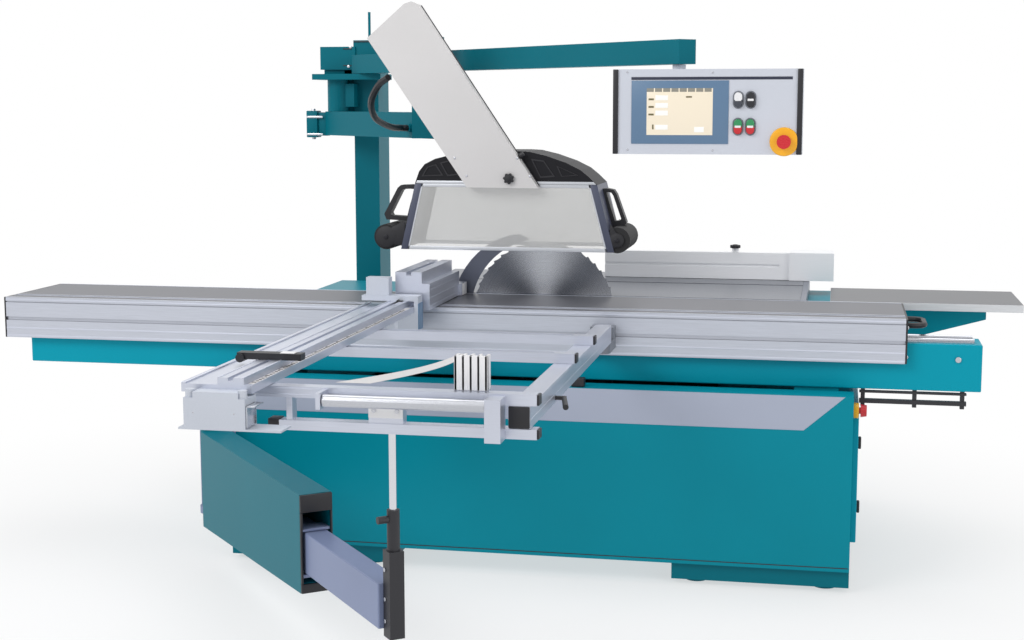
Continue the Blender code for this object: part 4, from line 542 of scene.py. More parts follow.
# %% Stripe, seam and catches
base_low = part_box("base_cabinet")[0]
front_y = base_low.y
ledge_z = TABLE_Z - 0.246
skin = 0.0012
stripe_low, stripe_high = ledge_z - 0.119, ledge_z - 0.002
left_x = x_at(-1.045)
tip_top, tip_low = x_at(1.123), x_at(0.989)
flat_piece(
    "cabinet_stripe",
    [(left_x, front_y, stripe_low), (tip_low, front_y, stripe_low), (tip_top, front_y, stripe_high),
     (left_x, front_y, stripe_high)], FRONT, skin, "stripe", "machine")
seam_z = base_low.z + 0.012
flat_piece(
    "cabinet_seam",
    [(left_x, front_y, seam_z), (x_at(1.146), front_y, seam_z), (x_at(1.146), front_y, seam_z + 0.003),
     (left_x, front_y, seam_z + 0.003)], FRONT, 0.0006, "black_coat", "machine")
door_low, door_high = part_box("end_door")
box_piece(
    "door_catches",
    [((door_high.x, door_low.y + 0.02, z), (door_high.x + 0.01, door_low.y + 0.045, z + 0.04))
     for z in (door_low.z + 0.1, door_high.z - 0.14)], "black_plastic", "door", 0.003)
stop_low, stop_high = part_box("base_stop_button")
stop_middle = (stop_low + stop_high) / 2
rod_piece(
    "base_stop_collar",
    [((stop_low.x - 0.0078, stop_middle.y, stop_middle.z),
      (stop_low.x + 0.01, stop_middle.y, stop_middle.z), 0.026)], "yellow_plastic", "machine", 0.002,
    slot="base_stop_button_finish")
box_piece(
    "ledge_foot", [(at(0.2, -0.585, ledge_z + 0.0003), at(0.245, -0.545, ledge_z + 0.03))], "black_plastic",
    "machine", 0.004)
print("cabinet front at", round(front_y, 3))

# %% [markdown]
# ## Sliding table
# Thin bright strips along the top's front edge, slot lips and blade edge are painted highlights, light lines
# along the whole length. A dark slot runs below the front lip for clamps; the right end cap has screws.

# %% Lips and end screws
table_low, table_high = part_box("sliding_table")
front_edge = y_at(-0.462)
lip = 0.0010
# Painted highlights: bright strips for the light along the front edge and the slot lips of the top.
box_piece(
    "table_lip_highlights",
    [((table_low.x, front_edge + y, TABLE_Z), (table_high.x, front_edge + y + wide, TABLE_Z + lip))
     for y, wide in ((0.001, 0.01), (0.062, 0.008), (0.092, 0.008))], "extrusion_x", "slider", 0.0003)
# A painted highlight along the top's blade edge.
box_piece(
    "table_blade_edge_highlight",
    [((table_low.x, y_at(-0.022), TABLE_Z), (table_high.x, y_at(-0.0145), TABLE_Z + lip))], "extrusion_x",
    "slider", 0.0003)
box_piece(
    "table_side_lines",
    [((table_low.x, front_edge - lip, TABLE_Z - z - wide), (table_high.x, front_edge, TABLE_Z - z))
     for z, wide in ((0.006, 0.005), (0.112, 0.006), (0.14, 0.008))], "extrusion_x", "slider", 0.0003)
cap_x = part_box("table_end_cap_right")[1].x
screws(
    "table_cap_screws",
    [(cap_x, at(0, y, 0).y, TABLE_Z - z)
     for y, z in ((-0.449, 0.03), (-0.449, 0.13), (-0.1, 0.03), (-0.25, 0.025))], RIGHT, 0.006, "slider")
screws("beam_screw", [at(1.492, -0.43, 0.789)], FRONT, 0.01, "machine")
print("sliding table length", round(table_high.x - table_low.x, 3))

# %% [markdown]
# ## Outrigger
# The outrigger's bars are extrusions closed with black caps. The front bar and the side bar also get the
# die lines of a real extrusion, as thin raised strips.

# %% Bar trims
side_low, side_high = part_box("side_bar")
front_low, front_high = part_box("front_upper_bar")
lower_low, lower_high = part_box("front_lower_bar")
middle_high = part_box("cross_bar_middle")[1]
inner_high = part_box("cross_bar_inner")[1]
cap = 0.006
FRONT_BAR_Y = y_at(-2.050)
box_piece(
    "side_bar_end_cap",
    [((side_low.x + 0.001, side_low.y - cap, side_low.z + 0.001),
      (side_high.x - 0.001, side_low.y, side_low.z + 0.056))], "black_plastic", "outrigger_side", 0.002)
box_piece(
    "front_beam_end_caps",
    [((front_high.x, FRONT_BAR_Y - 0.019, front_high.z - 0.028),
      (front_high.x + cap, FRONT_BAR_Y + 0.019, front_high.z - 0.001)),
     ((lower_high.x, FRONT_BAR_Y - 0.019, lower_low.z + 0.001),
      (lower_high.x + cap, FRONT_BAR_Y + 0.019, lower_low.z + 0.025)),
     ((lower_low.x - 0.03, FRONT_BAR_Y - 0.021, lower_low.z - 0.002),
      (lower_low.x, FRONT_BAR_Y + 0.021, lower_low.z + 0.029))], "black_plastic", "outrigger_front", 0.002)
for name, high in (("inner", inner_high), ("middle", middle_high)):
    bar_y = high.y - 0.020
    box_piece(
        f"cross_bar_{name}_cap",
        [((high.x, bar_y - 0.019, high.z - 0.028), (high.x + cap, bar_y + 0.019, high.z - 0.001))],
        "black_plastic", f"outrigger_{name}", 0.002)
strip_lines = []
for z in (0.004, 0.020):
    strip_lines.append(((front_low.x, FRONT_BAR_Y - 0.0208, front_high.z - z - 0.003),
                        (x_at(-0.202), FRONT_BAR_Y - 0.020, front_high.z - z)))
box_piece("front_bar_lines", strip_lines, "extrusion_x", "outrigger_front", 0.0003, slot="side_bar_finish")
box_piece(
    "side_bar_lines",
    [((x, side_low.y, side_high.z - 0.03 - z), (x + 0.0008, side_high.y - 0.06, side_high.z - 0.027 - z))
     for x in (side_low.x - 0.0008, side_high.x) for z in (0.0, 0.03)], "extrusion_y", "outrigger_side",
    0.0003, slot="side_bar_finish")
print("side bar", [round(v, 3) for v in side_high - side_low])

# %% [markdown]
# A white ribbed rest block stands on the front beam, and a pale curved plate runs back from it: the
# operator sets the angle of the frame against it. The plate is left plain.

# %% Rest block and angle plate
block_low, block_high = above(0.139, -2.045, 0.0020), above(0.226, -2.005, 0.091)
ribs = [(block_low, (block_high.x, block_low.y + 0.012, block_high.z))]
rib_count = 5
for rib in range(rib_count):
    x = block_low.x + (block_high.x - block_low.x - 0.008) * rib / (rib_count - 1)
    ribs.append(((x, block_low.y, block_low.z), (x + 0.008, block_high.y, block_high.z)))
box_piece("rest_block", ribs, "white_plastic", "outrigger_front", 0.0015)


def angle_plate():
    """A thin sickle-shaped plate, wide at the front beam and narrow at its far end."""
    count = 14
    near, far = Vector((-0.143, -1.995)), Vector((0.030, -1.470))
    outer, inner = [], []
    for step in range(count + 1):
        share = step / count
        middle = near.lerp(far, share)
        sag = 0.045 * math.sin(math.pi * share)
        half = 0.036 * (1 - share) + 0.010
        outer.append(above(middle.x + sag + half, middle.y, 0.00165))
        inner.append(above(middle.x + sag - half, middle.y, 0.00165))
    return flat_piece("angle_plate", outer + inner[::-1], UP, 0.0007, "pale_coat", "outrigger_front")


angle_plate()
box_piece(
    "joint_plate_cover",
    [(at(-0.08, -2.0705, lower_high.z - 0.062), at(0.011, -2.067, lower_high.z - 0.024))], "white_plastic",
    "outrigger_front", 0.001)
screws(
    "joint_plate_screws", [at(x, -2.0706, lower_high.z - 0.043) for x in (-0.065, -0.004)], FRONT, 0.006,
    "outrigger_front")
box_piece(
    "hinge_bracket_screw_plate", [(at(0.262, -0.5255, 0.795), at(0.3, -0.5223, 0.874))], "black_plastic",
    "slider", 0.001)
screws("hinge_bracket_screws", [at(0.281, -0.5255, z) for z in (0.81, 0.858)], FRONT, 0.007, "slider")

# %% [markdown]
# ## Cross-cut fence
# The fence is a wide extrusion with a narrower channel on top, a printed scale strip with plain tick marks,
# a clamp near the sliding table and an end casting with two knobs. The ticks are real thin bars on the
# strip.

# %% Fence scale, knobs and screws
fence_low, fence_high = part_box("crosscut_fence")
scale_x = x_at(-0.347)
strip_top = fence_low.z + 0.021
box_piece(
    "fence_scale_strip",
    [((scale_x - 0.014, fence_low.y + 0.02, strip_top),
      (scale_x + 0.002, fence_high.y - 0.12, strip_top + 0.0008))], "pale_coat", "fence", 0.0002)
tick_pitch = 0.020
ticks = []
tick_count = int((fence_high.y - 0.16 - fence_low.y - 0.04) / tick_pitch)
for tick in range(tick_count):
    y = fence_low.y + 0.04 + tick * tick_pitch
    width = 0.012 if tick % 5 == 0 else 0.007
    ticks.append(
        ((scale_x + 0.001 - width, y, strip_top + 0.0007), (scale_x + 0.001, y + 0.0016, strip_top + 0.0011)))
box_piece("fence_scale_ticks", ticks, "black_plastic", "fence")
box_piece(
    "fence_ridge",
    [((fence_low.x, fence_low.y, strip_top), (fence_low.x + 0.012, fence_high.y, strip_top + 0.004)),
     ((x_at(-0.4325), fence_low.y, fence_high.z), (x_at(-0.4275), fence_high.y, fence_high.z + 0.0015)),
     ((x_at(-0.3685), fence_low.y, fence_high.z), (x_at(-0.3635), fence_high.y, fence_high.z + 0.0015))],
    "extrusion_y", "fence", 0.0005)


def ribbed_knob(name, centre, axis, radius, height, body, lobes=6):
    """A clamping knob: a star-shaped grip with rounded lobes and a round cap."""
    axis = Vector(axis)
    centre = Vector(centre)
    side = axis.orthogonal().normalized()
    across_side = axis.cross(side)
    work = bmesh.new()
    outline = []
    count = lobes * 8
    for step in range(count):
        turn = 2 * math.pi * step / count
        reach = radius * (0.88 + 0.12 * math.cos(lobes * turn))
        outline.append(centre + reach * (math.cos(turn) * side + math.sin(turn) * across_side))
    thicken(work, outline, axis * height)
    soften(work, rim_edges(work.edges), height * 0.18, 3)
    add_rod(
        work, centre + axis * height * 0.95, centre + axis * height * 1.15, radius * 0.45,
        edge=height * 0.05)
    return finish_piece(name, work, "black_plastic", body, 50)


end_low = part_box("fence_end_block")[0]
ribbed_knob("fence_clamp_knob", at(-0.392, -0.630, 0.958), FRONT, 0.017, 0.020, "fence")
box_piece(
    "fence_clamp_band", [(at(-0.3275, -0.6285, 0.868), at(-0.327, -0.6285 + 0.057, 0.96))], "bezel", "fence")
box_piece(
    "end_block_bracket",
    [(at(-0.3425, -2.245, 0.85), at(-0.3395, -2.18, 0.905)),
     (at(-0.3425, -2.245, 0.902), at(-0.32, -2.18, 0.905))], "clip_steel", "fence", 0.0006)
ribbed_knob("end_block_knob", at(-0.424, -2.2285, 0.9235), UP, 0.014, 0.012, "fence")
screws(
    "end_block_screws", [(x, end_low.y + 0.003, at(0, 0, 0.885).z) for x in (x_at(-0.48), x_at(-0.372))],
    FRONT, 0.005, "fence")
stop_arm_low, stop_arm_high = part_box("flip_stop")
box_piece(
    "flip_stop_window",
    [((stop_arm_high.x - 0.06, stop_arm_low.y + 0.01, stop_arm_high.z),
      (stop_arm_high.x - 0.02, stop_arm_high.y - 0.01, stop_arm_high.z + 0.002))], "white_plastic", "stop",
    0.0006)
face_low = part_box("fence_face")[0]
box_piece(
    "fence_face_lines",
    [((x_at(-0.307), face_low.y, face_low.z + z),
      (x_at(-0.307) + 0.0008, y_at(-0.1), face_low.z + z + 0.004)) for z in (0.012, 0.04, 0.068, 0.084)],
    "extrusion_y", "fence", 0.0003)
box_piece(
    "fence_face_block", [(at(-0.3285, -0.0995, face_low.z), at(-0.2945, -0.0298, face_low.z + 0.0445))],
    "white_plastic", "fence", 0.001)
print("fence ticks", tick_count)

# %% [markdown]
# ## Swing arm
# The arm's nose carries a black collar round the opening, with a pale inner profile. The post at the beam's
# end has three bright screws and a side knob, and the pivot bracket has a knob below.

# %% Nose collar, post screws and pivot knob
ARM_PIN = at(-1.080, -0.680, 0)
ARM_TURN = Matrix.Rotation(math.radians(-51.5), 4, "Z")


def along_arm(work):
    """Lay a bmesh that was drawn along +X from the pin onto the arm."""
    bmesh.ops.transform(work, matrix=Matrix.Translation(ARM_PIN) @ ARM_TURN, verts=work.verts)


def arm_boxes(name, boxes, finish, body, edge=0.002, slot=None):
    """Boxes given in the arm's own frame."""
    work = bmesh.new()
    for low, high in boxes:
        add_box(work, low, high, edge)
    along_arm(work)
    return finish_piece(name, work, finish, body, slot=slot)


nose = 1.0752
collar = [((nose, -0.05, 0.206), (nose + 0.01, 0.05, 0.234)),
          ((nose, -0.05, 0.451), (nose + 0.01, 0.05, 0.504)),
          ((nose, -0.05, 0.2342), (nose + 0.01, -0.0435, 0.4508)),
          ((nose, 0.0435, 0.2342), (nose + 0.01, 0.05, 0.4508))]
arm_boxes("swing_arm_nose", collar, "black_plastic", "arm")
arm_boxes(
    "swing_arm_inner_profile",
    [((1.02, -0.043, 0.392), (nose + 0.004, 0.043, 0.4)),
     ((1.02, -0.0435, 0.252), (nose + 0.004, 0.0435, 0.262))], "lilac", "arm", 0.001)
reach = 1.6695
work = bmesh.new()
for z in (0.29, 0.35, 0.43):
    add_screw(work, (reach - 0.010, -0.0210, z), FRONT, 0.006)
along_arm(work)
finish_piece("post_screws", work, "turned_steel", "arm_extension")
post = ARM_PIN + ARM_TURN @ Vector((reach, 0, 0))
ribbed_knob(
    "post_knob", ARM_PIN + ARM_TURN @ Vector((reach - 0.0237, 0, 0.44)), ARM_TURN @ Vector((-1, 0, 0)),
    0.016, 0.022, "arm_extension")
ribbed_knob("pivot_knob", (ARM_PIN.x, ARM_PIN.y, 0.2), -UP, 0.024, 0.022, "machine")
screws(
    "pivot_bracket_screws", [at(x, -0.6063, z) for x in (-1.14, -1.03) for z in (0.27, 0.48)], FRONT, 0.007,
    "machine")
print("post at", [round(value, 3) for value in post])

# %% [markdown]
# ## Blade guard
# The hood's lower part is not one clear block. Two clear sheets stand between pale rails and dark end
# posts. Outside each post is a flat loop handle above a round cap that hides the end of the pressure
# roller. These pieces take the place of the plain solid.


# %% Upright plates
def add_upright(work, outline, front, back):
    """A plate in a bmesh: an outline of (x, z) places, standing between two depths."""
    thicken(work, [at(x, back, z) for x, z in outline], (0, front - back, 0))


def upright_piece(name, plates, finish, body, edge=0.0, slot=None):
    """A piece made of upright plates, each given as outline, front and back."""
    work = bmesh.new()
    for outline, front, back in plates:
        add_upright(work, outline, front, back)
    if edge:
        soften(work, sharp_edges(work, SLIGHT_TURN), edge)
    return finish_piece(name, work, finish, body, slot=slot)


def disc(x, z, radius, sides=40):
    """A round outline."""
    return [(x + radius * math.cos(2 * math.pi * k / sides), z + radius * math.sin(2 * math.pi * k / sides))
            for k in range(sides)]


# %% Hood sheets, rails and posts
HOOD_FRONT, HOOD_BACK = -0.090, 0.170
HOOD_LOW, HOOD_JOINT = TABLE_Z + 0.172, TABLE_Z + 0.4205


def hood_side(z, side):
    """The hood's left or right edge at a height."""
    share = (z - HOOD_LOW) / (HOOD_JOINT - HOOD_LOW)
    return -0.535 + 0.057 * share if side == "left" else 0.278 - 0.065 * share


def between_posts(low, high, inset):
    """A four-sided outline that follows both slanted ends."""
    return [(hood_side(low, "left") + inset, low), (hood_side(low, "right") - inset, low),
            (hood_side(high, "right") - inset, high), (hood_side(high, "left") + inset, high)]


def post_outline(side, outer, inner):
    """A strip along one slanted end, between two distances from its edge."""
    way = 1 if side == "left" else -1
    return [(hood_side(HOOD_LOW, side) + way * outer, HOOD_LOW),
            (hood_side(HOOD_LOW, side) + way * inner, HOOD_LOW),
            (hood_side(HOOD_JOINT, side) + way * inner, HOOD_JOINT),
            (hood_side(HOOD_JOINT, side) + way * outer, HOOD_JOINT)]


HOOD_WALL = 0.004
POST_WIDTH = 0.026
SEAL_WIDTH = 0.005
faces = ((HOOD_FRONT, HOOD_FRONT + HOOD_WALL), (HOOD_BACK - HOOD_WALL, HOOD_BACK))
sheet_outline = between_posts(HOOD_LOW + 0.013, HOOD_JOINT - 0.011, POST_WIDTH + 0.001)
sheets = upright_piece(
    "hood_clear_sheets", [(sheet_outline, front + 0.0005, back - 0.0005) for front, back in faces],
    "clear_hood", "hood")
bands = (between_posts(HOOD_LOW, HOOD_LOW + 0.014, 0.0), between_posts(HOOD_JOINT - 0.012, HOOD_JOINT, 0.0))
rails = upright_piece(
    "hood_rails", [(outline, front, back) for front, back in faces for outline in bands], "hood_rail",
    "hood", 0.0005)
posts = upright_piece(
    "hood_posts",
    [(post_outline(side, 0.0, POST_WIDTH), front - 0.0002, back + 0.0002) for front, back in faces
     for side in ("left", "right")]
    + [(post_outline(side, 0.0, HOOD_WALL), HOOD_FRONT + 0.003, HOOD_BACK - 0.003)
       for side in ("left", "right")], "slate", "hood", 0.0006)
seals = upright_piece(
    "hood_seals",
    [(post_outline(side, POST_WIDTH, POST_WIDTH + SEAL_WIDTH), front, back) for front, back in faces[:1]
     for side in ("left", "right")], "hood_rail", "hood")

# %% Hood handles and roller caps
ROLLER_LEFT, ROLLER_RIGHT, ROLLER_Z = -0.594, 0.288, TABLE_Z + 0.217
LOOPS = {
    "left": ([(-0.484, 1.334), (-0.52, 1.335), (-0.563, 1.333), (-0.576, 1.322), (-0.63, 1.222),
              (-0.622, 1.2), (-0.524, 1.196), (-0.505, 1.262)],
             [(-0.508, 1.318), (-0.524, 1.319), (-0.552, 1.318), (-0.561, 1.311), (-0.605, 1.226),
              (-0.6, 1.216), (-0.539, 1.213), (-0.526, 1.262)]),
    "right": ([(0.216, 1.326), (0.233, 1.328), (0.26, 1.323), (0.271, 1.307), (0.309, 1.202),
               (0.302, 1.186), (0.253, 1.184), (0.236, 1.25)],
              [(0.232, 1.313), (0.241, 1.314), (0.252, 1.311), (0.259, 1.3), (0.289, 1.215), (0.284, 1.208),
               (0.266, 1.206), (0.25, 1.253)]),
}


def add_loop(work, outer, inner, front, back):
    """A flat ring between two outlines of as many places, standing between two depths."""
    count = len(outer)
    rings = [[work.verts.new(at(x, y, z)) for x, z in outline] for y in (front, back)
             for outline in (outer, inner)]
    front_out, front_in, back_out, back_in = rings
    for k in range(count):
        n = (k + 1) % count
        work.faces.new((front_out[k], front_out[n], front_in[n], front_in[k]))
        work.faces.new((back_out[k], back_in[k], back_in[n], back_out[n]))
        work.faces.new((front_out[k], back_out[k], back_out[n], front_out[n]))
        work.faces.new((front_in[k], front_in[n], back_in[n], back_in[k]))


work = bmesh.new()
for outer, inner in LOOPS.values():
    add_loop(work, outer, inner, 0.018, 0.062)
soften(work, sharp_edges(work, SQUARE_TURN), 0.003, 3)
handles = finish_piece("hood_handles", work, "black_plastic", "hood", 40)
ears = []
for x, inner, radius in ((ROLLER_LEFT, -0.520, 0.040), (ROLLER_RIGHT, 0.262, 0.026)):
    for front, back in faces:
        ears.append((disc(x, ROLLER_Z, radius), front, back))
        ears.append(
            ([(x, ROLLER_Z - 0.024), (inner, ROLLER_Z - 0.034), (inner, ROLLER_Z + 0.062),
              (x, ROLLER_Z + 0.024)], front + 0.0003, back - 0.0003))
caps = upright_piece("hood_roller_ears", ears, "black_plastic", "hood", 0.0006)
for part in (sheets, rails, posts, seals, handles, caps):
    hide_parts("hood_window")
work = bmesh.new()
for x in (ROLLER_LEFT, ROLLER_RIGHT):
    add_screw(work, at(x, HOOD_FRONT, ROLLER_Z), FRONT, 0.009)
finish_piece("hood_axle_nuts", work, "blackened", "hood")
print("hood between", HOOD_LOW, HOOD_JOINT)

# %% [markdown]
# The moulded top has shallow framed panels, with a pale strip where it meets the clear part. The guard's
# sheet cover carries a black star knob at the hood's pivot and small screws along both of its long edges.

# %% Hood top panels, guard knob and screws
PANELS = [[(-0.034, 1.440), (0.014, 1.434), (0.056, 1.374), (0.001, 1.370)],
          [(0.062, 1.415), (0.143, 1.380), (0.080, 1.375)],
          [(-0.380, 1.424), (-0.335, 1.436), (-0.300, 1.380), (-0.352, 1.374)],
          [(-0.430, 1.408), (-0.396, 1.418), (-0.368, 1.376), (-0.452, 1.372)]]
work = bmesh.new()
for outline in PANELS:
    middle = (sum(x for x, _ in outline) / len(outline), sum(z for _, z in outline) / len(outline))
    inner = [(x + (middle[0] - x) * 0.16, z + (middle[1] - z) * 0.16) for x, z in outline]
    add_loop(work, outline, inner, HOOD_FRONT - 0.003, HOOD_FRONT + 0.001)
soften(work, sharp_edges(work, SQUARE_TURN), 0.0008)
finish_piece("hood_top_frames", work, "black_coat", "hood", slot="hood_top_finish")
upright_piece(
    "hood_joint_strip",
    [([(-0.474, HOOD_JOINT + 0.001), (0.21, HOOD_JOINT + 0.001), (0.2, HOOD_JOINT + 0.011),
       (-0.47, HOOD_JOINT + 0.011)], HOOD_FRONT - 0.002, HOOD_FRONT + 0.001)], "hood_rail", "hood", 0.0006)
COVER_FRONT = -0.140
ribbed_knob("guard_knob", at(-0.107, COVER_FRONT, 1.369), FRONT, 0.021, 0.015, "guard_link", 7)
screws(
    "guard_cover_screws",
    [at(x, COVER_FRONT, z) for x, z in ((-0.312, 1.443), (-0.267, 1.378), (-0.076, 1.444), (-0.028, 1.378))],
    FRONT, 0.0045, "guard_link")
rod_piece(
    "guard_cover_edges",
    [(at(-0.001, -0.0985, 1.339), at(-0.446, -0.0985, 2.002), 0.0028),
     (at(-0.503, -0.0985, 2.008), at(-0.643, -0.0985, 1.886), 0.0028)], "black_plastic", "guard_link",
    0.0006)
rod_piece(
    "guard_edge_knob", [(at(-0.074, -0.118, 1.448), at(-0.056, -0.118, 1.46), 0.01)], "black_plastic",
    "guard_link", 0.002)
print("guard cover front at", COVER_FRONT)

# %% [markdown]
# ## Control panel
# The panel's face carries a blue-grey bezel round a lit screen, a dark stripe, black side grips, a collar
# round each oval button and a yellow disc behind the stop button. The screen has plain bands and fields,
# without text.


# %% Panel face
PANEL_FRONT = -0.790
BEZEL_RISE, SCREEN_RISE, PRINT_RISE = 0.0025, 0.0032, 0.0036
SCREEN_LEFT, SCREEN_RIGHT, SCREEN_LOW, SCREEN_TOP = 0.475, 0.685, 1.544, 1.692
FIELD_HEIGHT = 0.0155


def face_box(low_x, low_z, high_x, high_z, height, sunk=0.0004):
    """A box on the panel's face, from just inside it to a height in front of it."""
    return at(low_x, PANEL_FRONT - height, low_z), at(high_x, PANEL_FRONT + sunk, high_z)


def oval(x, z, half_width, half_height, steps=12):
    """A rounded-end outline standing on its short side."""
    straight = half_height - half_width
    ends = []
    for end, start in ((1, 0.0), (-1, math.pi)):
        for k in range(steps + 1):
            turn = start + math.pi * k / steps
            ends.append((x + half_width * math.cos(turn), z + end * straight + half_width * math.sin(turn)))
    return ends


box_piece("panel_bezel", [face_box(0.426, 1.516, 0.735, 1.716, BEZEL_RISE)], "bezel", "panel", 0.0012)
box_piece(
    "panel_screen", [face_box(SCREEN_LEFT, SCREEN_LOW, SCREEN_RIGHT, SCREEN_TOP, SCREEN_RISE, -0.002)],
    "screen_glass", "panel", 0.0004)
PRINT_SUNK = -0.0030
BAND_PLACES = [SCREEN_LEFT + 0.0262 * k for k in range(8)]
box_piece(
    "panel_screen_band",
    [face_box(x, 1.6805, x + 0.0225, SCREEN_TOP, PRINT_RISE, PRINT_SUNK) for x in BAND_PLACES],
    "screen_band", "panel", 0.0002)
box_piece(
    "panel_screen_fields",
    [face_box(0.503, z, 0.543, z + FIELD_HEIGHT, PRINT_RISE, PRINT_SUNK)
     for z in (1.654, 1.63, 1.606, 1.561)]
    + [face_box(0.627, 1.553, 0.658, 1.57, PRINT_RISE, PRINT_SUNK)], "screen_field", "panel", 0.0002)
box_piece(
    "panel_screen_marks",
    [face_box(0.481, z + 0.002, 0.498, z + 0.008, PRINT_RISE, PRINT_SUNK) for z in (1.652, 1.628, 1.604)]
    + [face_box(0.493, 1.562, 0.498, 1.577, PRINT_RISE, PRINT_SUNK),
       face_box(0.6, 1.662, 0.619, 1.667, PRINT_RISE, PRINT_SUNK)], "screen_mark", "panel", 0.0002)
box_piece("panel_stripe", [face_box(0.425, 1.7185, 0.933, 1.7275, 0.0008)], "navy_print", "panel", 0.0002)
box_piece(
    "panel_side_grips",
    [face_box(0.3665, 1.4835, 0.3835, 1.7515, 0.006), face_box(0.9485, 1.4835, 0.9655, 1.7515, 0.006)],
    "black_plastic", "panel", 0.0025)
BUTTONS = [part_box(f"push_button_{k}") for k in (1, 2, 3, 4)]
work = bmesh.new()
for low, high in BUTTONS:
    middle = (low + high) / 2
    half = (high - low) / 2
    across = middle.x - BLADE_PLANE.x
    rim = oval(across, middle.z, half.x + 0.0005, half.z + 0.0005)
    wide = oval(across, middle.z, half.x + 0.0040, half.z + 0.0040)
    add_loop(work, wide, rim, PANEL_FRONT - 0.003, PANEL_FRONT + 0.0002)
finish_piece("panel_button_collars", work, "grey_coat", "panel", 50)


def split_plastic(name, upper, lower, height):
    """Moulded plastic in two colours, changing at a height."""
    material, tree, shader = start_material(name, upper, 0.30, 0.0, IOR=1.49)
    where = add_node(tree, "SeparateXYZ", None, {"Vector": place_on(tree)})
    above_line = add_node(tree, "Math", {"operation": "GREATER_THAN", 1: height}, {0: where.outputs["Z"]})
    colour = mixed(tree, above_line.outputs[0], linear(lower), linear(upper))
    tree.links.new(colour, shader.inputs["Base Color"])
    return material


LENS_RISE = 0.0012
TONES = [("moulded white and grey plastic", "#E6E6E8", "#3C404A"),
         ("moulded black plastic button", "#1E1F26", "#1E1F26"),
         ("moulded green and red plastic", "#2E8B57", "#C4252E"),
         ("moulded green and red plastic", "#2E8B57", "#C4252E")]
for k, ((low, high), (name, upper, lower)) in enumerate(zip(BUTTONS, TONES), start=1):
    middle = (low + high) / 2
    half = (high - low) / 2
    work = bmesh.new()
    outline = oval(middle.x, middle.z, half.x - 0.0004, half.z - 0.0004)
    thicken(work, [(x, high.y, z) for x, z in outline], (0, low.y + LENS_RISE - high.y, 0))
    soften(work, rim_edges(work.edges), 0.0020, 3)
    finishes[f"button_{k}"] = split_plastic(name, upper, lower, middle.z)
    cap = finish_piece(f"oval_button_{k}", work, f"button_{k}", f"button_{k}", 50, f"push_button_{k}_finish")
    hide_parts(f"push_button_{k}")
    box_piece(
        f"button_lens_{k}",
        [((middle.x - 0.0095, low.y, middle.z - 0.0035),
          (middle.x + 0.0095, low.y + 0.004, middle.z + 0.0035))], "white_plastic", f"button_{k}", 0.0008,
        slot=f"push_button_{k}_finish")
stop_low, stop_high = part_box("panel_stop_button")
stop_middle = (stop_low + stop_high) / 2
work = bmesh.new()
add_rod(
    work, (stop_middle.x, at(0, PANEL_FRONT + 0.0004, 0).y, stop_middle.z),
    (stop_middle.x, at(0, PANEL_FRONT - 0.006, 0).y, stop_middle.z), 0.046, sides=64, end_radius=0.044,
    edge=0.002)
finish_piece("panel_stop_disc", work, "yellow_plastic", "panel", 40)
screws(
    "panel_screws",
    [at(x, PANEL_FRONT, z) for x, z in ((0.412, 1.743), (0.683, 1.741), (0.414, 1.497), (0.686, 1.496))],
    FRONT, 0.0032, "panel")
print("panel buttons", len(BUTTONS), "stop at", [round(value, 3) for value in stop_middle])

# %% [markdown]
# ## Column
# The column's head has a dark cap, slots with clamp bolts, and a hinge block with two bright clips where
# the guard's arm meets the column.

# %% Column head and hinge
COLUMN_FRONT, HEAD_FRONT = 0.950, 0.940
box_piece(
    "column_dark_seams",
    [(at(-1.028, COLUMN_FRONT - 0.003, 1.909), at(-0.94, COLUMN_FRONT + 0.03, 1.914)),
     (at(-1.074, HEAD_FRONT - 0.0015, 1.878), at(-1.034, HEAD_FRONT + 0.001, 1.883)),
     (at(-1.074, HEAD_FRONT - 0.0015, 1.806), at(-1.034, HEAD_FRONT + 0.001, 1.81)),
     (at(-1.01, 0.866, 1.778), at(-0.932, 0.869, 1.797))], "black_plastic", "machine", 0.0006)
box_piece(
    "column_web",
    [(at(-1.076, 0.956, 1.6), at(-1.026, 1.0, 1.79)), (at(-1.168, 0.956, 1.765), at(-1.026, 1.0, 1.812))],
    "teal_painted_shade", "machine", 0.002)
screws(
    "column_bolts", [at(-1.04, HEAD_FRONT, 1.888), at(-0.972, 0.866, 1.784), at(-1.05, HEAD_FRONT, 1.803)],
    FRONT, 0.0065, "machine")
box_piece(
    "hinge_block",
    [(at(-1.237, 0.9, 1.493), at(-1.186, 0.96, 1.61)), (at(-1.19, 0.912, 1.5), at(-1.14, 0.948, 1.603))],
    "teal_painted_shade", "machine", 0.004)
box_piece(
    "hinge_clips", [(at(-1.235, 0.897, z), at(-1.16, 0.903, z + 0.009)) for z in (1.578, 1.502)],
    "clip_steel", "machine", 0.0015)
rod_piece(
    "hinge_pin", [(at(-1.212, 0.93, 1.484), at(-1.212, 0.93, 1.619), 0.009)], "turned_steel", "machine",
    0.002)
print("column details at", COLUMN_FRONT, HEAD_FRONT)

# %% [markdown]
# ## Last small parts
# A black clamp knob stands on top of the rip fence.

# %% Fence knob
fence_low, fence_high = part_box("rip_fence")
ribbed_knob(
    "rip_fence_knob", (x_at(0.676), fence_low.y + 0.022, fence_high.z), UP, 0.021, 0.013, "fence_rip", 8)

# %% [markdown]
# ## Floor and background
# The floor is a plain pale sheet. Its own shading is blended into an even white with distance from the
# machine, so the shadow stays under the machine and the far edge can't be seen. The world is white wherever
# it is looked at, directly, in a reflection or through the clear hood, and gives only a modest light.


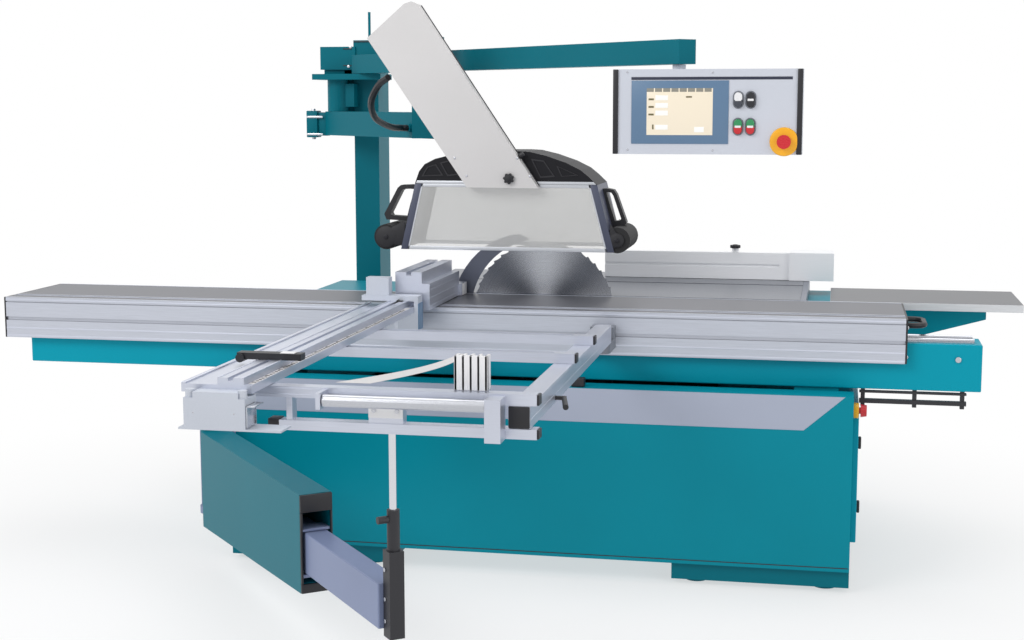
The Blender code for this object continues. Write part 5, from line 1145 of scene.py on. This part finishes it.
# %% Floor
def fading_floor():
    """Pale matt floor near the machine, even white far from it."""
    material, tree, shader = start_material("matt studio floor", "#F4F4F5", 0.85)
    place = place_on(tree)
    matt = ranged(tree, noise(tree, place, 6.0, 2.0), 0.0, 1.0, 0.80, 0.90)
    tree.links.new(matt, shader.inputs["Roughness"])
    away = add_node(tree, "VectorMath", {"operation": "LENGTH"}, {0: place})
    fade = add_node(
        tree, "MapRange",
        {"interpolation_type": "SMOOTHSTEP", "From Min": 1.2, "From Max": 3.4, "To Min": 0.6},
        {"Value": away.outputs["Value"]})
    white = add_node(tree, "Emission", {"Color": (1.0, 1.0, 1.0, 1.0), "Strength": 1.0})
    blend = add_node(tree, "MixShader", None,
                     {0: fade.outputs[0], 1: shader.outputs[0], 2: white.outputs[0]})
    tree.links.new(blend.outputs[0], tree.nodes["Material Output"].inputs["Surface"])
    return material


floor_shape = bmesh.new()
bmesh.ops.create_grid(floor_shape, x_segments=1, y_segments=1, size=40.0)
bmesh.ops.translate(floor_shape, vec=(0, 0, -0.0005), verts=floor_shape.verts)
floor_mesh = bpy.data.meshes.new("floor")
floor_shape.to_mesh(floor_mesh)
floor_shape.free()
floor_mesh.materials.append(fading_floor())
floor = bpy.data.objects.new("floor", floor_mesh)
bpy.context.scene.collection.objects.link(floor)
print("floor", [round(side, 1) for side in floor.dimensions])

# %% World
WORLD_LIGHT = 0.45
world = bpy.data.worlds.new("studio")
world.use_nodes = True
bpy.context.scene.world = world
sky = world.node_tree
seen = sky.nodes["Background"]
seen.inputs["Color"].default_value = (1.0, 1.0, 1.0, 1.0)
seen.inputs["Strength"].default_value = 1.0
lighting = add_node(sky, "Background", {"Color": (1.0, 1.0, 1.0, 1.0), "Strength": WORLD_LIGHT})
ray = add_node(sky, "LightPath")
looked_at = add_node(sky, "Math", {"operation": "MAXIMUM"},
                     {0: ray.outputs["Is Camera Ray"], 1: ray.outputs["Is Transmission Ray"]})
shown = add_node(sky, "Math", {"operation": "MAXIMUM"},
                 {0: looked_at.outputs[0], 1: ray.outputs["Is Glossy Ray"]})
pick = add_node(sky, "MixShader", None, {0: shown.outputs[0], 1: lighting.outputs[0], 2: seen.outputs[0]})
sky.links.new(pick.outputs[0], sky.nodes["World Output"].inputs["Surface"])
print("world light", WORLD_LIGHT)
